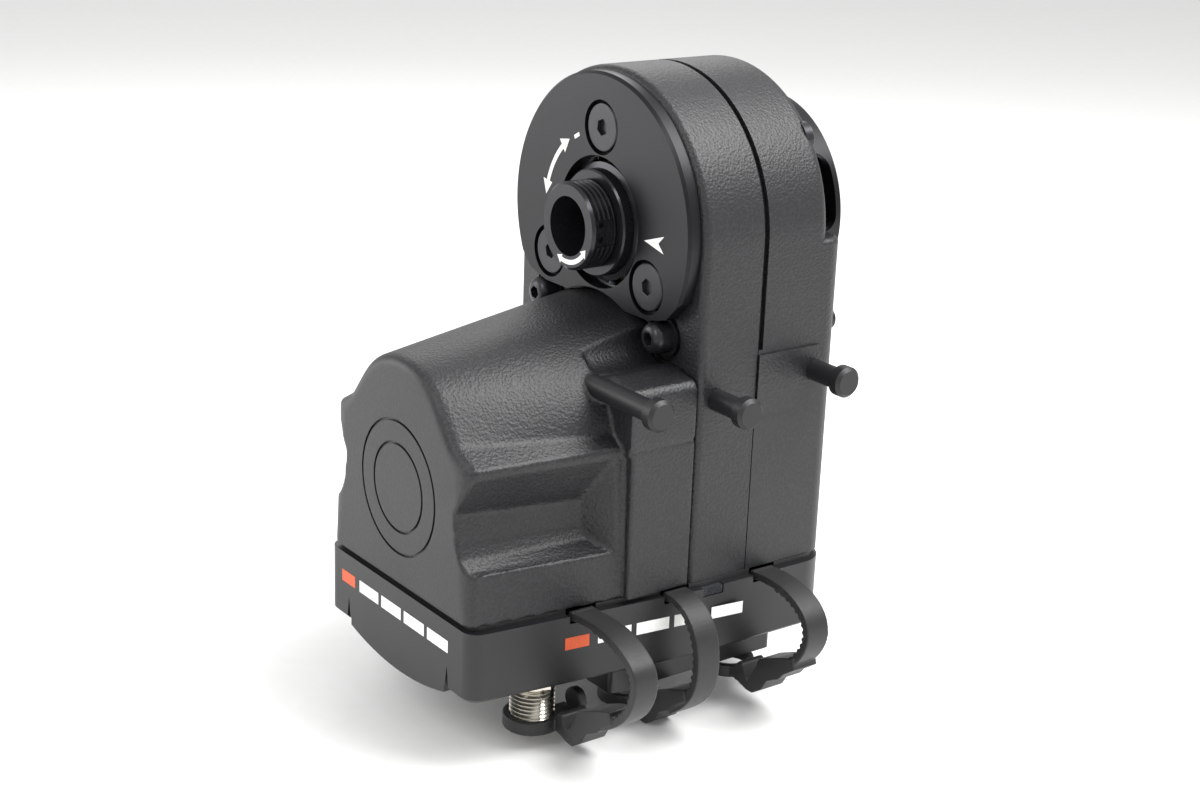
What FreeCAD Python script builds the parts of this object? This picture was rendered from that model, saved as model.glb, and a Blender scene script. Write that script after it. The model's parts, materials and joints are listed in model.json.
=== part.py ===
"""Motorised focuser drive for a telescope: a geared servo in a cast two-part tower.

Frame, in millimetres: the origin is on the axis of the drive hub, in the front face of
the mounting plate.  +Z is up, -Y points at the telescope and +X is the side with the
cable pegs and the rubber ties.  Every piece is one node, written to parts/NODE.step.
"""
import FreeCAD, Part
import math
import os

V = FreeCAD.Vector
X_AXIS = V(1, 0, 0)
Y_AXIS = V(0, 1, 0)
Z_AXIS = V(0, 0, 1)

# ---- driving dimensions -------------------------------------------------------------
TOWER_HALF = 27.0            # half width of the tower, and radius of its round top
TOWER_FRONT_Y = 2.5          # front face of the tower, behind the mounting plate
SEAM_FRONT_Y = 15.0          # rear edge of the front shell
SEAM_REAR_Y = 15.2           # front edge of the rear shell
UPPER_REAR_Y = 30.0          # rear face of the round upper part
LOWER_REAR_Y = 34.0          # rear face of the deeper lower part
TOWER_BOTTOM_Z = -58.9
WALL = 2.4                   # cast wall
FIT = 0.02                   # radial allowance between pieces of one body that nest

BORE_R = 5.23                # through bore of the hub
THREAD_R = 7.7               # crest radius of the hub's front thread
HUB_FACE_Y = -6.4
HUB_TUBE_R = 8.5             # journal in both bearings
HUB_END_Y = 36.4
COLLAR_R = 9.4
BEARING_OUT_R = 13.0
BEARING_WIDTH = 5.0
FRONT_BEARING_Y = 3.6
REAR_BEARING_Y = 22.4

PLATE_R = 25.6
PLATE_RISE = 0.5             # the plate's disc sits a little above the hub axis
PLATE_HOLE_R = 11.65
PLATE_SCREW_PCR = 16.6       # radius of the plate's screw circle
PLATE_SCREW_ANGLES = (90.0, 210.0, 330.0)

GEAR_MODULE = 0.8
OUTPUT_TEETH = 50
IDLER_TEETH = 19
PINION_TEETH = 12
GEAR_Y = 12.0
GEAR_WIDTH = 4.5
CENTRE_ALLOWANCE = 0.06      # added to each centre distance for backlash
IDLER_Z = -(GEAR_MODULE * (OUTPUT_TEETH + IDLER_TEETH) / 2 + CENTRE_ALLOWANCE)
MOTOR_Z = IDLER_Z - (GEAR_MODULE * (IDLER_TEETH + PINION_TEETH) / 2 + CENTRE_ALLOWANCE)

BASE_FRONT_Y = -40.2
BASE_REAR_Y = 34.2
BASE_FRONT_HALF = 23.7
BASE_REAR_HALF = 28.5
BASE_TAPER_END_Y = 5.0       # the base cover's sides run parallel behind this
RIM_Z = -59.8                # top edge of the base cover
BASE_BOTTOM_Z = -72.3
BASE_WALL = 2.2

JACK_X, JACK_Y = 17.0, -23.0
JACK_R = 3.95
JACK_END_Z = -82.4

TIE_Y = (-18.8, -0.3, 18.9)  # middles of the three ties, front to back
TIE_WIDTH = 4.8
TIE_THICK = 1.3
TIE_ROOT_Z = -60.1
TIE_ROOT_DEPTH = 0.95        # how far the hinge bead's axis lies inside the cover's wall
TIE_BEAD_R = 0.85            # bead on each band's root, which turns in its slot
TIE_SLOT_Z = -61.1           # floor of the slots that the ties come out of

KNOB_R = 16.6
KNOB_Y0, KNOB_Y1 = 31.4, 36.0
GUARD_R = 20.2
GUARD_END_Y = 39.2

parts = {}


# ---- small makers -------------------------------------------------------------------
def box(x0, x1, y0, y1, z0, z1):
    return Part.makeBox(x1 - x0, y1 - y0, z1 - z0, V(x0, y0, z0))


def rod_y(x, z, radius, y0, y1):
    """Cylinder along Y."""
    return Part.makeCylinder(radius, y1 - y0, V(x, y0, z), Y_AXIS)


def post_z(x, y, radius, z0, z1):
    """Cylinder along Z."""
    return Part.makeCylinder(radius, z1 - z0, V(x, y, z0), Z_AXIS)


def pin_x(y, z, radius, x0, x1):
    """Cylinder along X."""
    return Part.makeCylinder(radius, x1 - x0, V(x0, y, z), X_AXIS)


def ring_y(x, z, outer, inner, y0, y1):
    return rod_y(x, z, outer, y0, y1).cut(rod_y(x, z, inner, y0 - 1, y1 + 1))


def prism_y(points, y0, y1):
    """Polygon of (x, z) points, pulled along Y."""
    corners = [V(x, y0, z) for x, z in points]
    face = Part.Face(Part.makePolygon(corners + corners[:1]))
    return face.extrude(V(0, y1 - y0, 0))


def hexagon_y(x, z, across_flats, y0, y1):
    radius = across_flats / math.sqrt(3)
    corners = [(x + radius * math.cos(math.radians(60 * k + 30)),
                z + radius * math.sin(math.radians(60 * k + 30))) for k in range(6)]
    return prism_y(corners, y0, y1)


def turn_y(profile, x=0.0, z=0.0):
    """Solid of revolution about a Y axis through (x, z), from (radius, y) points."""
    corners = [V(x + r, y, z) for r, y in profile]
    face = Part.Face(Part.makePolygon(corners + corners[:1]))
    return face.revolve(V(x, 0, z), Y_AXIS, 360)


def turn_z(profile, x, y):
    """Solid of revolution about a Z axis through (x, y), from (radius, z) points."""
    corners = [V(x + r, y, z) for r, z in profile]
    face = Part.Face(Part.makePolygon(corners + corners[:1]))
    return face.revolve(V(x, y, 0), Z_AXIS, 360)


def turn_x(profile, y, z):
    """Solid of revolution about an X axis through (y, z), from (x, radius) points."""
    corners = [V(x, y + r, z) for x, r in profile]
    face = Part.Face(Part.makePolygon(corners + corners[:1]))
    return face.revolve(V(0, y, z), X_AXIS, 360)


def polar(radius, degrees):
    angle = math.radians(degrees)
    return radius * math.cos(angle), radius * math.sin(angle)


def mirrored(shape):
    """The shape's twin on the other side of the YZ plane."""
    return shape.mirror(V(0, 0, 0), X_AXIS)


def both_sides(shape):
    return [shape, mirrored(shape)]


def save(name, *solids):
    """Keep one node; several solids stay separate in it."""
    parts[name] = solids[0] if len(solids) == 1 else Part.makeCompound(list(solids))


# ---- outlines -----------------------------------------------------------------------
def tower(half, y0, y1, bottom):
    """Round-topped block: the tower's outline with a given half width."""
    block = box(-half, half, y0, y1, bottom, 0)
    return block.fuse(rod_y(0, 0, half, y0, y1)).removeSplitter()


def base_outline(inset, z0, z1, front_r, rear_r):
    """Plan of the base cover, tapering to the front, pulled along Z."""
    front, rear = BASE_FRONT_Y + inset, BASE_REAR_Y - inset
    narrow, wide = BASE_FRONT_HALF - inset, BASE_REAR_HALF - inset
    plan = [(-narrow, front), (narrow, front), (wide, BASE_TAPER_END_Y),
            (wide, rear), (-wide, rear), (-wide, BASE_TAPER_END_Y)]
    corners = [V(x, y, z0) for x, y in plan]
    solid = Part.Face(Part.makePolygon(corners + corners[:1])).extrude(V(0, 0, z1 - z0))
    upright = [e for e in solid.Edges if abs(e.tangentAt(e.FirstParameter).z) > 0.99]
    at_front = [e for e in upright if abs(e.Vertexes[0].Y - front) < 0.01]
    solid = solid.makeFillet(front_r, at_front)
    upright = [e for e in solid.Edges if abs(e.tangentAt(e.FirstParameter).z) > 0.99]
    at_rear = [e for e in upright if abs(e.Vertexes[0].Y - rear) < 0.01]
    return solid.makeFillet(rear_r, at_rear)


def side_half(y):
    """Half width of the base cover at a given depth."""
    if y >= BASE_TAPER_END_Y:
        return BASE_REAR_HALF
    share = (y - BASE_FRONT_Y) / (BASE_TAPER_END_Y - BASE_FRONT_Y)
    return BASE_FRONT_HALF + share * (BASE_REAR_HALF - BASE_FRONT_HALF)


# ---- motor housing ------------------------------------------------------------------
HOUSING_BACK_Y = 2.3
DOME_FRONT_Y = -38.4         # the dome's full section starts here, behind the bevel
FACE_Y = -40.0               # flat front face
FACE_HALF = ((20.9, TOWER_BOTTOM_Z), (19.6, -50.6), (18.2, -33.4), (15.2, -30.2))
FACE_CROWN = ((12.9, -27.4), (9.2, -23.4), (4.8, -20.8), (0.0, -20.0))
DOME_SIDE = ((22.9, TOWER_BOTTOM_Z), (22.7, -50.4), (21.8, -32.1), (17.0, -29.4))
DOME_CROWN = ((14.1, -25.8), (10.3, -21.8), (5.6, -19.4), (0.0, -18.6))
INNER_SIDE = ((18.2, TOWER_BOTTOM_Z - 1), (16.0, -51.0), (15.4, -34.5), (13.2, -31.6))
INNER_CROWN = ((11.0, -28.2), (8.0, -25.4), (4.3, -23.8), (0.0, -23.2))
REAR_SIDE = ((26.9, TOWER_BOTTOM_Z), (26.6, -51.6), (26.2, -32.0), (25.0, -30.6))
REAR_CROWN = ((20.8, -21.8), (15.0, -16.9), (7.8, -13.7), (0.0, -12.9))
NOSE_ROUNDING = ((-40.0, 0.0), (-39.8, 0.4), (-39.3, 0.75), (-38.4, 1.0))


def section_wire(y, side, crown):
    """Closed section: straight flanks from (x, z) points and a spline over the top."""
    right = [V(x, y, z) for x, z in side]
    left = [V(-x, y, z) for x, z in reversed(side)]
    over = [V(x, y, z) for x, z in crown] + [V(-x, y, z) for x, z in reversed(crown[:-1])]
    spline = Part.BSplineCurve()
    spline.interpolate([right[-1]] + over + [left[0]])
    edges = [Part.makeLine(left[-1], right[0])]
    edges += [Part.makeLine(a, b) for a, b in zip(right, right[1:])]
    edges.append(spline.toShape())
    edges += [Part.makeLine(a, b) for a, b in zip(left, left[1:])]
    return Part.Wire(edges)


def between(front, rear, share):
    """Points part of the way from one list of (x, z) points to another."""
    return [(a + share * (c - a), b + share * (d - b)) for (a, b), (c, d) in zip(front, rear)]


def side_recess():
    """Cutter for the scooped recess in the right flank, with its slanted rear wall."""
    front_y, back_y = -46.0, -8.0
    front = [(21.5, -32.6), (17.2, -40.2), (18.2, -45.6), (19.2, -48.0), (20.6, -49.6),
             (48.0, -56.0), (48.0, -33.2)]
    back = [(25.8, -32.2), (20.2, -42.3), (20.2, -46.8), (21.4, -48.7), (25.2, -50.2),
            (48.0, -51.6), (48.0, -33.2)]
    wires = []
    for y, profile in ((front_y, front), (back_y, back)):
        corners = [V(x, y, z) for x, z in profile]
        wires.append(Part.makePolygon(corners + corners[:1]))
    cutter = Part.makeLoft(wires, True, True)
    slant = math.atan2(5.0, 7.0)                   # rear wall: 5 mm back over 7 mm out
    keep_off = box(-60, 60, 0, 60, -80, 0)
    keep_off.rotate(V(0, 0, 0), Z_AXIS, math.degrees(slant))
    keep_off.translate(V(20.0, -16.0, 0))
    return cutter.cut(keep_off)


def face_ring(inner, outer):
    """Plain ring, cut a little way into the front face."""
    centre_z, depth = -41.5, 0.45
    return ring_y(0, centre_z, outer, inner, FACE_Y - 1, FACE_Y + depth)


def make_motor_housing():
    """Domed cover over the motor: a ledge over a recess on each flank, a shoulder on one."""
    rounds = [section_wire(y, between(FACE_HALF, DOME_SIDE, share),
                           between(FACE_CROWN, DOME_CROWN, share))
              for y, share in NOSE_ROUNDING]
    nose = Part.makeLoft(rounds, True, True)
    body = Part.makeLoft([section_wire(DOME_FRONT_Y, DOME_SIDE, DOME_CROWN),
                          section_wire(HOUSING_BACK_Y, REAR_SIDE, REAR_CROWN)], True, True)
    hull = nose.fuse(body)
    shoulder = prism_y([(17.6, -21.6), (20.5, -20.6), (26.2, -21.9), (27.0, -23.0),
                        (27.0, -31.6), (26.6, -33.2), (17.6, -33.2)], -11.4, HOUSING_BACK_Y)
    top_front = [e for e in shoulder.Edges if e.BoundBox.YLength < 0.01
                 and e.BoundBox.YMax < -11 and e.BoundBox.ZMin > -23.1]
    shoulder = shoulder.makeFillet(1.0, top_front)
    rear_panel = box(18.0, 26.95, -10.9, HOUSING_BACK_Y, TOWER_BOTTOM_Z, -32.6)
    recess = side_recess()
    for solid in [shoulder] + both_sides(rear_panel):
        hull = hull.fuse(solid)
    for cutter in both_sides(recess):
        hull = hull.cut(cutter)
    cavity = Part.makeLoft([section_wire(y, INNER_SIDE, INNER_CROWN)
                            for y in (-37.4, HOUSING_BACK_Y + 1)], True, True)
    for x, y in BASE_SCREWS:
        cavity = cavity.cut(post_z(x, y, 3.0, TOWER_BOTTOM_Z - 2, -52.0))
    hull = hull.cut(cavity)
    for cutter in both_sides(rod_y(SCREW_X, SCREW_Z, 4.6, -12.0, HOUSING_BACK_Y + 1)):
        hull = hull.cut(cutter)
    under_plate = rod_y(0, PLATE_RISE, PLATE_R + 0.3, -0.3, HOUSING_BACK_Y + 1)
    under_plate = under_plate.cut(rod_y(0, -31.15, 18.9, -1, 5)).cut(box(-40, 40, -1, 5, -40, -14.2))
    hull = hull.cut(under_plate)
    y, z, root_x = PEG_PLACES["housing_peg"]
    hull = hull.cut(pin_x(y, z, PEG_SPIGOT_R + FIT, root_x - 5, 40))
    hull = hull.cut(pin_x(y, z, PEG_R + FIT, root_x, 40))
    for x, y in BASE_SCREWS:
        hull = hull.cut(post_z(x, y, 1.5 + FIT, -62, -56.8))
    hull = hull.cut(face_ring(11.7, 12.1)).cut(face_ring(7.6, 8.0))
    save("motor_housing", hull.removeSplitter())


# ---- screws and pegs ----------------------------------------------------------------
SCREW_X, SCREW_Z = 17.0, -16.6        # the two cap screws beside the dome
PEG_R, PEG_HEAD_R, PEG_SPIGOT_R = 1.9, 2.75, 1.3
PEG_TIP_X = 36.4
PEG_PLACES = {                        # y, z, x where the shaft meets its shell
    "housing_peg": (-12.4, -22.9, 17.0),
    "front_shell_peg": (6.4, -25.8, TOWER_HALF),
    "rear_shell_peg": (28.0, -23.7, TOWER_HALF + 0.4),
}
CASE_SCREWS = ((22.3, -52.5), (-22.3, -52.5), (18.85, 15.8), (-18.85, 15.8))
LOW_SCREWS = ((22.6, -16.4), (-22.6, -16.4))
BASE_SCREWS = ((18.0, -34.0), (-18.0, -34.0), (22.0, 29.4), (-22.0, 29.4))


def make_pegs():
    for name, (y, z, root_x) in PEG_PLACES.items():
        save(name, turn_x([(root_x - 2.2, 0), (root_x - 2.2, PEG_SPIGOT_R),
                           (root_x, PEG_SPIGOT_R), (root_x, PEG_R),
                           (PEG_TIP_X - 2.7, PEG_R),
                           (PEG_TIP_X - 2.3, PEG_HEAD_R), (PEG_TIP_X - 0.6, PEG_HEAD_R),
                           (PEG_TIP_X, PEG_HEAD_R - 0.6), (PEG_TIP_X, 0)], y, z))


def socket_screw(x, z, head_r, shank_r, key, head_y, seat_y, tip_y):
    """Socket-head screw whose head faces -Y."""
    head = turn_y([(0, head_y), (head_r - 0.4, head_y), (head_r, head_y + 0.4),
                   (head_r, seat_y), (shank_r, seat_y), (shank_r, tip_y - 0.4),
                   (shank_r - 0.4, tip_y), (0, tip_y)], x, z)
    depth = 0.6 * (seat_y - head_y)
    return head.cut(hexagon_y(x, z, key, head_y - 1, head_y + depth))


def rear_screw(x, z, head_r, shank_r, key, seat_y, head_y, tip_y):
    """The same screw with its head facing +Y."""
    body = turn_y([(0, tip_y), (shank_r - 0.4, tip_y), (shank_r, tip_y + 0.4),
                   (shank_r, seat_y), (head_r, seat_y), (head_r, head_y - 0.3),
                   (head_r - 0.3, head_y), (0, head_y)], x, z)
    depth = 0.6 * (head_y - seat_y)
    return body.cut(hexagon_y(x, z, key, head_y - depth, head_y + 1))


def make_screws():
    plate = []
    for angle in PLATE_SCREW_ANGLES:
        x, z = polar(PLATE_SCREW_PCR, angle)
        plate.append(socket_screw(x, z, 4.25, 2.5, 3.0, 0.2, 1.7, 8.0))
    save("plate_screws", *plate)
    cap, washers = [], []
    for x in (SCREW_X, -SCREW_X):
        cap.append(socket_screw(x, SCREW_Z, 2.75, 1.5, 2.5, -1.2, 2.5, 9.0))
        washers.append(ring_y(x, SCREW_Z, 3.5, 1.6, 2.5, 3.3))
    save("shell_cap_screws", *cap)
    save("shell_screw_washers", *washers)
    case = []
    for x, z in CASE_SCREWS:
        seat = (LOWER_REAR_Y if z < 0 else UPPER_REAR_Y) - 2.2
        case.append(rear_screw(x, z, 2.75, 1.5, 2.5, seat, seat + 2.0, 8.5))
    for x, z in LOW_SCREWS:
        case.append(rear_screw(x, z, 2.0, 1.25, 2.0, LOWER_REAR_Y, LOWER_REAR_Y + 1.2, 27.5))
    save("case_screws", *case)


# ---- mounting plate -----------------------------------------------------------------
def make_mount_plate():
    """Machined disc with three counterbores, cut away underneath round the dome."""
    chamfer, lobe_low, scallop_r = 0.5, -13.9, 19.2
    disc = turn_y([(PLATE_HOLE_R, 0), (PLATE_R - chamfer, 0), (PLATE_R, chamfer),
                   (PLATE_R, TOWER_FRONT_Y), (PLATE_HOLE_R, TOWER_FRONT_Y)], 0, 0)
    disc.translate(V(0, 0, PLATE_RISE))
    disc = disc.fuse(ring_y(0, 0, 15.0, PLATE_HOLE_R, 0, TOWER_FRONT_Y))
    disc = disc.cut(rod_y(0, 0, PLATE_HOLE_R, -1, TOWER_FRONT_Y + 1))
    disc = disc.cut(box(-40, 40, -1, 5, -40, lobe_low))
    corner = prism_y([(15.2, -16.5), (15.2, lobe_low), (20.2, -12.6), (24.6, -8.2),
                      (30.0, -2.0), (30.0, -16.5)], -1, 5)
    for cutter in both_sides(corner):
        disc = disc.cut(cutter)
    disc = disc.cut(rod_y(0, -11.95 - scallop_r, scallop_r, -1, 5))
    upright = [e for e in disc.Edges if abs(e.Length - TOWER_FRONT_Y) < 0.01
               and e.Vertexes[0].Z < -12.5 and abs(e.Vertexes[0].X) < 12]
    disc = disc.makeFillet(2.6, upright)
    for angle in PLATE_SCREW_ANGLES:
        x, z = polar(PLATE_SCREW_PCR, angle)
        disc = disc.cut(rod_y(x, z, 4.77, -1, 1.7)).cut(rod_y(x, z, 2.7, 0, 4))
    save("mount_plate", disc)


# ---- hub, knob and bearings ---------------------------------------------------------
def make_drive_hub():
    """Turned sleeve: front thread with a flat, collar, and a journal tube to the knob."""
    pitch, depth, count = 1.0, 0.62, 4
    profile = [(BORE_R, HUB_FACE_Y), (THREAD_R - 0.5, HUB_FACE_Y),
               (THREAD_R, HUB_FACE_Y + 0.45)]
    for k in range(count):
        y = HUB_FACE_Y + 0.75 + k * pitch
        profile += [(THREAD_R, y), (THREAD_R - depth, y + 0.4 * pitch),
                    (THREAD_R, y + 0.8 * pitch)]
    profile += [(THREAD_R, -1.9), (THREAD_R - 0.7, -1.7), (THREAD_R - 0.7, -1.3),
                (COLLAR_R - 0.3, -1.3), (COLLAR_R, -1.0), (COLLAR_R, 0.9), (10.4, 1.2),
                (10.4, 2.2), (9.9, FRONT_BEARING_Y),
                (HUB_TUBE_R, FRONT_BEARING_Y), (HUB_TUBE_R, HUB_END_Y),
                (BORE_R, HUB_END_Y)]
    hub = turn_y(profile)
    hub = hub.cut(box(6.75, 12, HUB_FACE_Y + 0.6, -1.9, -2.4, 2.4))
    for z in (-1.2, 1.4):
        hub = hub.cut(pin_x(-4.2, z, 0.55, 6.0, 12))
    save("drive_hub", hub)


def make_bearing(name, y0):
    """Deep-groove ball bearing: inner race, outer race and a set of balls."""
    middle = y0 + BEARING_WIDTH / 2
    pitch_r, ball_r, groove_r, count = 10.75, 1.15, 1.2, 14
    groove = Part.makeTorus(pitch_r, groove_r, V(0, middle, 0), Y_AXIS)
    inner = ring_y(0, 0, 9.9, HUB_TUBE_R + FIT, y0, y0 + BEARING_WIDTH).cut(groove)
    outer = ring_y(0, 0, BEARING_OUT_R, 11.6, y0, y0 + BEARING_WIDTH).cut(groove)
    balls = []
    for k in range(count):
        x, z = polar(pitch_r, 360.0 * k / count)
        balls.append(Part.makeSphere(ball_r, V(x, middle, z)))
    save(name + "_bearing_inner", inner)
    save(name + "_bearing_outer", outer)
    save(name + "_bearing_balls", *balls)


def make_knob():
    """Knurled wheel behind the finger windows, with its set screw."""
    grooves, groove_r = 44, 0.5
    knob = turn_y([(HUB_TUBE_R + FIT, KNOB_Y0), (KNOB_R - 0.4, KNOB_Y0),
                   (KNOB_R, KNOB_Y0 + 0.4), (KNOB_R, KNOB_Y1 - 0.4),
                   (KNOB_R - 0.4, KNOB_Y1), (HUB_TUBE_R + 2.2, KNOB_Y1),
                   (HUB_TUBE_R + 2.2, KNOB_Y1 + 0.8), (HUB_TUBE_R + FIT, KNOB_Y1 + 0.8)])
    cutters = []
    for k in range(grooves):
        x, z = polar(KNOB_R + 0.15, 360.0 * k / grooves)
        cutters.append(rod_y(x, z, groove_r, KNOB_Y0 - 1, KNOB_Y1 + 1))
    knob = knob.cut(Part.makeCompound(cutters))
    middle = (KNOB_Y0 + KNOB_Y1) / 2
    knob = knob.cut(post_z(0, middle, 1.5, HUB_TUBE_R - 1, KNOB_R + 1))
    save("hand_knob", knob)
    screw = post_z(0, middle, 1.48, HUB_TUBE_R + FIT, KNOB_R - 3.0)
    save("knob_set_screw", screw)


# ---- gears --------------------------------------------------------------------------
def involute_gear(teeth, y0, y1, centre_z, tooth_at):
    """Spur gear about a Y axis; one tooth is centred at the angle tooth_at."""
    pitch_r = GEAR_MODULE * teeth / 2
    base_r = pitch_r * math.cos(math.radians(20))
    tip_r = pitch_r + GEAR_MODULE
    root_r = pitch_r - 1.2 * GEAR_MODULE
    thinning = 0.09                                   # taken off each tooth for backlash
    half_pitch = (math.pi * GEAR_MODULE / 2 - thinning) / (2 * pitch_r)

    def involute(radius):
        turn = math.acos(min(1.0, base_r / radius))
        return math.tan(turn) - turn

    start_r = max(base_r, root_r + 0.05)
    radii = [start_r + (tip_r - start_r) * k / 4 for k in range(5)]
    outline = []
    for tooth in range(teeth):
        centre = math.radians(tooth_at) + 2 * math.pi * tooth / teeth
        half = [half_pitch + involute(pitch_r) - involute(r) for r in radii]
        rising = [(root_r, centre - half[0])] + [(r, centre - h) for r, h in zip(radii, half)]
        falling = [(r, centre + h) for r, h in zip(reversed(radii), reversed(half))]
        outline += rising + falling + [(root_r, centre + half[0])]
    corners = [(r * math.cos(a), centre_z + r * math.sin(a)) for r, a in outline]
    return prism_y(corners, y0, y1)


def make_gears():
    y0, y1 = GEAR_Y, GEAR_Y + GEAR_WIDTH
    output = involute_gear(OUTPUT_TEETH, y0, y1, 0, -90)
    output = output.cut(rod_y(0, 0, HUB_TUBE_R + FIT, y0 - 1, y1 + 1))
    for k in range(6):
        x, z = polar(14.4, 60 * k)
        output = output.cut(rod_y(x, z, 2.6, y0 - 1, y1 + 1))
    save("output_gear", output)
    save("front_spacer", ring_y(0, 0, 10.0, HUB_TUBE_R + FIT, FRONT_BEARING_Y + BEARING_WIDTH, y0))
    save("rear_spacer", ring_y(0, 0, 10.0, HUB_TUBE_R + FIT, y1, REAR_BEARING_Y))
    idler_gap = 90.0
    idler = involute_gear(IDLER_TEETH, y0, y1, IDLER_Z, idler_gap + 180.0 / IDLER_TEETH)
    idler = idler.cut(rod_y(0, IDLER_Z, 2.05, y0 - 1, y1 + 1))
    save("idler_gear", idler)
    save("idler_pin", turn_y([(0, 3.4), (2.0, 3.4), (2.0, y1 + 0.5), (3.1, y1 + 0.5),
                              (3.1, y1 + 1.3), (0, y1 + 1.3)], 0, IDLER_Z))
    pinion = involute_gear(PINION_TEETH, y0 - 0.5, y1 + 0.5, MOTOR_Z, 90 + 180.0 / PINION_TEETH)
    pinion = pinion.cut(rod_y(0, MOTOR_Z, 2.0 + FIT, y0 - 2, y1 + 2))
    save("motor_pinion", pinion)


# ---- motor --------------------------------------------------------------------------
def make_motor():
    """Servo motor with its gearhead, screwed to the front shell's wall."""
    case_back = TOWER_FRONT_Y
    screw_spots = [polar(9.0, a) for a in (0, 180)]
    shaft_hole = rod_y(0, MOTOR_Z, 3.1, -3.0, case_back + 1)
    gearhead = rod_y(0, MOTOR_Z, 12.0, -14.0, case_back).cut(shaft_hole)
    motor_screws = []
    for x, dz in screw_spots:
        gearhead = gearhead.cut(rod_y(x, MOTOR_Z + dz, 1.27, -4.0, case_back + 1))
        motor_screws.append(rear_screw(x, MOTOR_Z + dz, 2.25, 1.25, 2.0, 5.5, 7.4, -3.0))
    save("gearhead", gearhead)
    save("motor_screws", *motor_screws)
    can = turn_y([(0, -33.0), (10.4, -33.0), (11.4, -32.0), (11.4, -14.1), (0, -14.1)],
                 0, MOTOR_Z)
    save("motor_can", can.cut(box(-15, 15, -30, -17, MOTOR_Z + 10.6, MOTOR_Z + 12)))
    save("motor_end_cap", turn_y([(0, -35.2), (7.4, -35.2), (8.2, -34.4), (8.2, -33.1),
                                  (0, -33.1)], 0, MOTOR_Z))
    shaft = rod_y(0, MOTOR_Z, 2.0, -2.0, GEAR_Y + GEAR_WIDTH + 1.2)
    save("gearhead_shaft", shaft)
    save("position_magnet", ring_y(0, MOTOR_Z, 4.2, 2.0 + FIT, 8.6, 10.6))
    board = box(-6, 6, 6.6, 7.8, -55.2, -49.6)
    chip = box(-2, 2, 7.85, 8.5, -53.6, -50.6)
    save("position_sensor_board", board, chip)


# ---- tower shells -------------------------------------------------------------------
def front_edges(shape, y):
    return [e for e in shape.Edges
            if all(abs(v.Y - y) < 0.01 for v in e.Vertexes) and
            e.BoundBox.YLength < 0.01 and e.BoundBox.ZMax > TOWER_BOTTOM_Z + 1]


def make_front_shell():
    shell = tower(TOWER_HALF, TOWER_FRONT_Y, SEAM_FRONT_Y, TOWER_BOTTOM_Z)
    shell = shell.makeFillet(1.4, front_edges(shell, TOWER_FRONT_Y))
    inner_y = TOWER_FRONT_Y + 3.0
    hollow = tower(TOWER_HALF - WALL, inner_y, SEAM_FRONT_Y + 1, TOWER_BOTTOM_Z + WALL)
    bosses = [rod_y(0, 0, 15.4, inner_y - 1, 8.8), rod_y(0, IDLER_Z, 4.0, inner_y - 1, 11.6)]
    for x, z in CASE_SCREWS:
        bosses.append(rod_y(x, z, 3.0, inner_y - 1, SEAM_FRONT_Y))
    for angle in PLATE_SCREW_ANGLES:
        x, z = polar(PLATE_SCREW_PCR, angle)
        bosses.append(rod_y(x, z, 4.0, inner_y - 1, 9.0))
    for x in (SCREW_X, -SCREW_X):
        bosses.append(rod_y(x, SCREW_Z, 3.4, inner_y - 1, 9.8))
    for boss in bosses:
        hollow = hollow.cut(boss)
    shell = shell.cut(hollow)
    cuts = [rod_y(0, 0, BEARING_OUT_R + FIT, FRONT_BEARING_Y, 10),
            rod_y(0, 0, 11.9, 0, 10),
            rod_y(0, MOTOR_Z, 6.4, 0, 10),
            rod_y(0, IDLER_Z, 2.0 + FIT, 3.4, 14)]
    for x, z in CASE_SCREWS:
        cuts.append(rod_y(x, z, 1.5 + FIT, 8.3, 20))
    for angle in PLATE_SCREW_ANGLES:
        x, z = polar(PLATE_SCREW_PCR, angle)
        cuts.append(rod_y(x, z, 2.5 + FIT, 0, 8.2))
    for x in (SCREW_X, -SCREW_X):
        cuts.append(rod_y(x, SCREW_Z, 4.4, 0, 3.3))
        cuts.append(rod_y(x, SCREW_Z, 1.5 + FIT, 0, 9.2))
    for x in (9.0, -9.0):
        cuts.append(rod_y(x, MOTOR_Z, 1.4, 0, 10))
    y, z, root_x = PEG_PLACES["front_shell_peg"]
    cuts.append(pin_x(y, z, PEG_SPIGOT_R + FIT, root_x - 5, root_x + 1))
    cuts.append(box(-16, 16, 8.0, SEAM_FRONT_Y + 1, TOWER_BOTTOM_Z - 1, TOWER_BOTTOM_Z + 3))
    for cutter in cuts:
        shell = shell.cut(cutter)
    save("gearbox_front_shell", shell)


REAR_CORNER_R = 3.8


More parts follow.
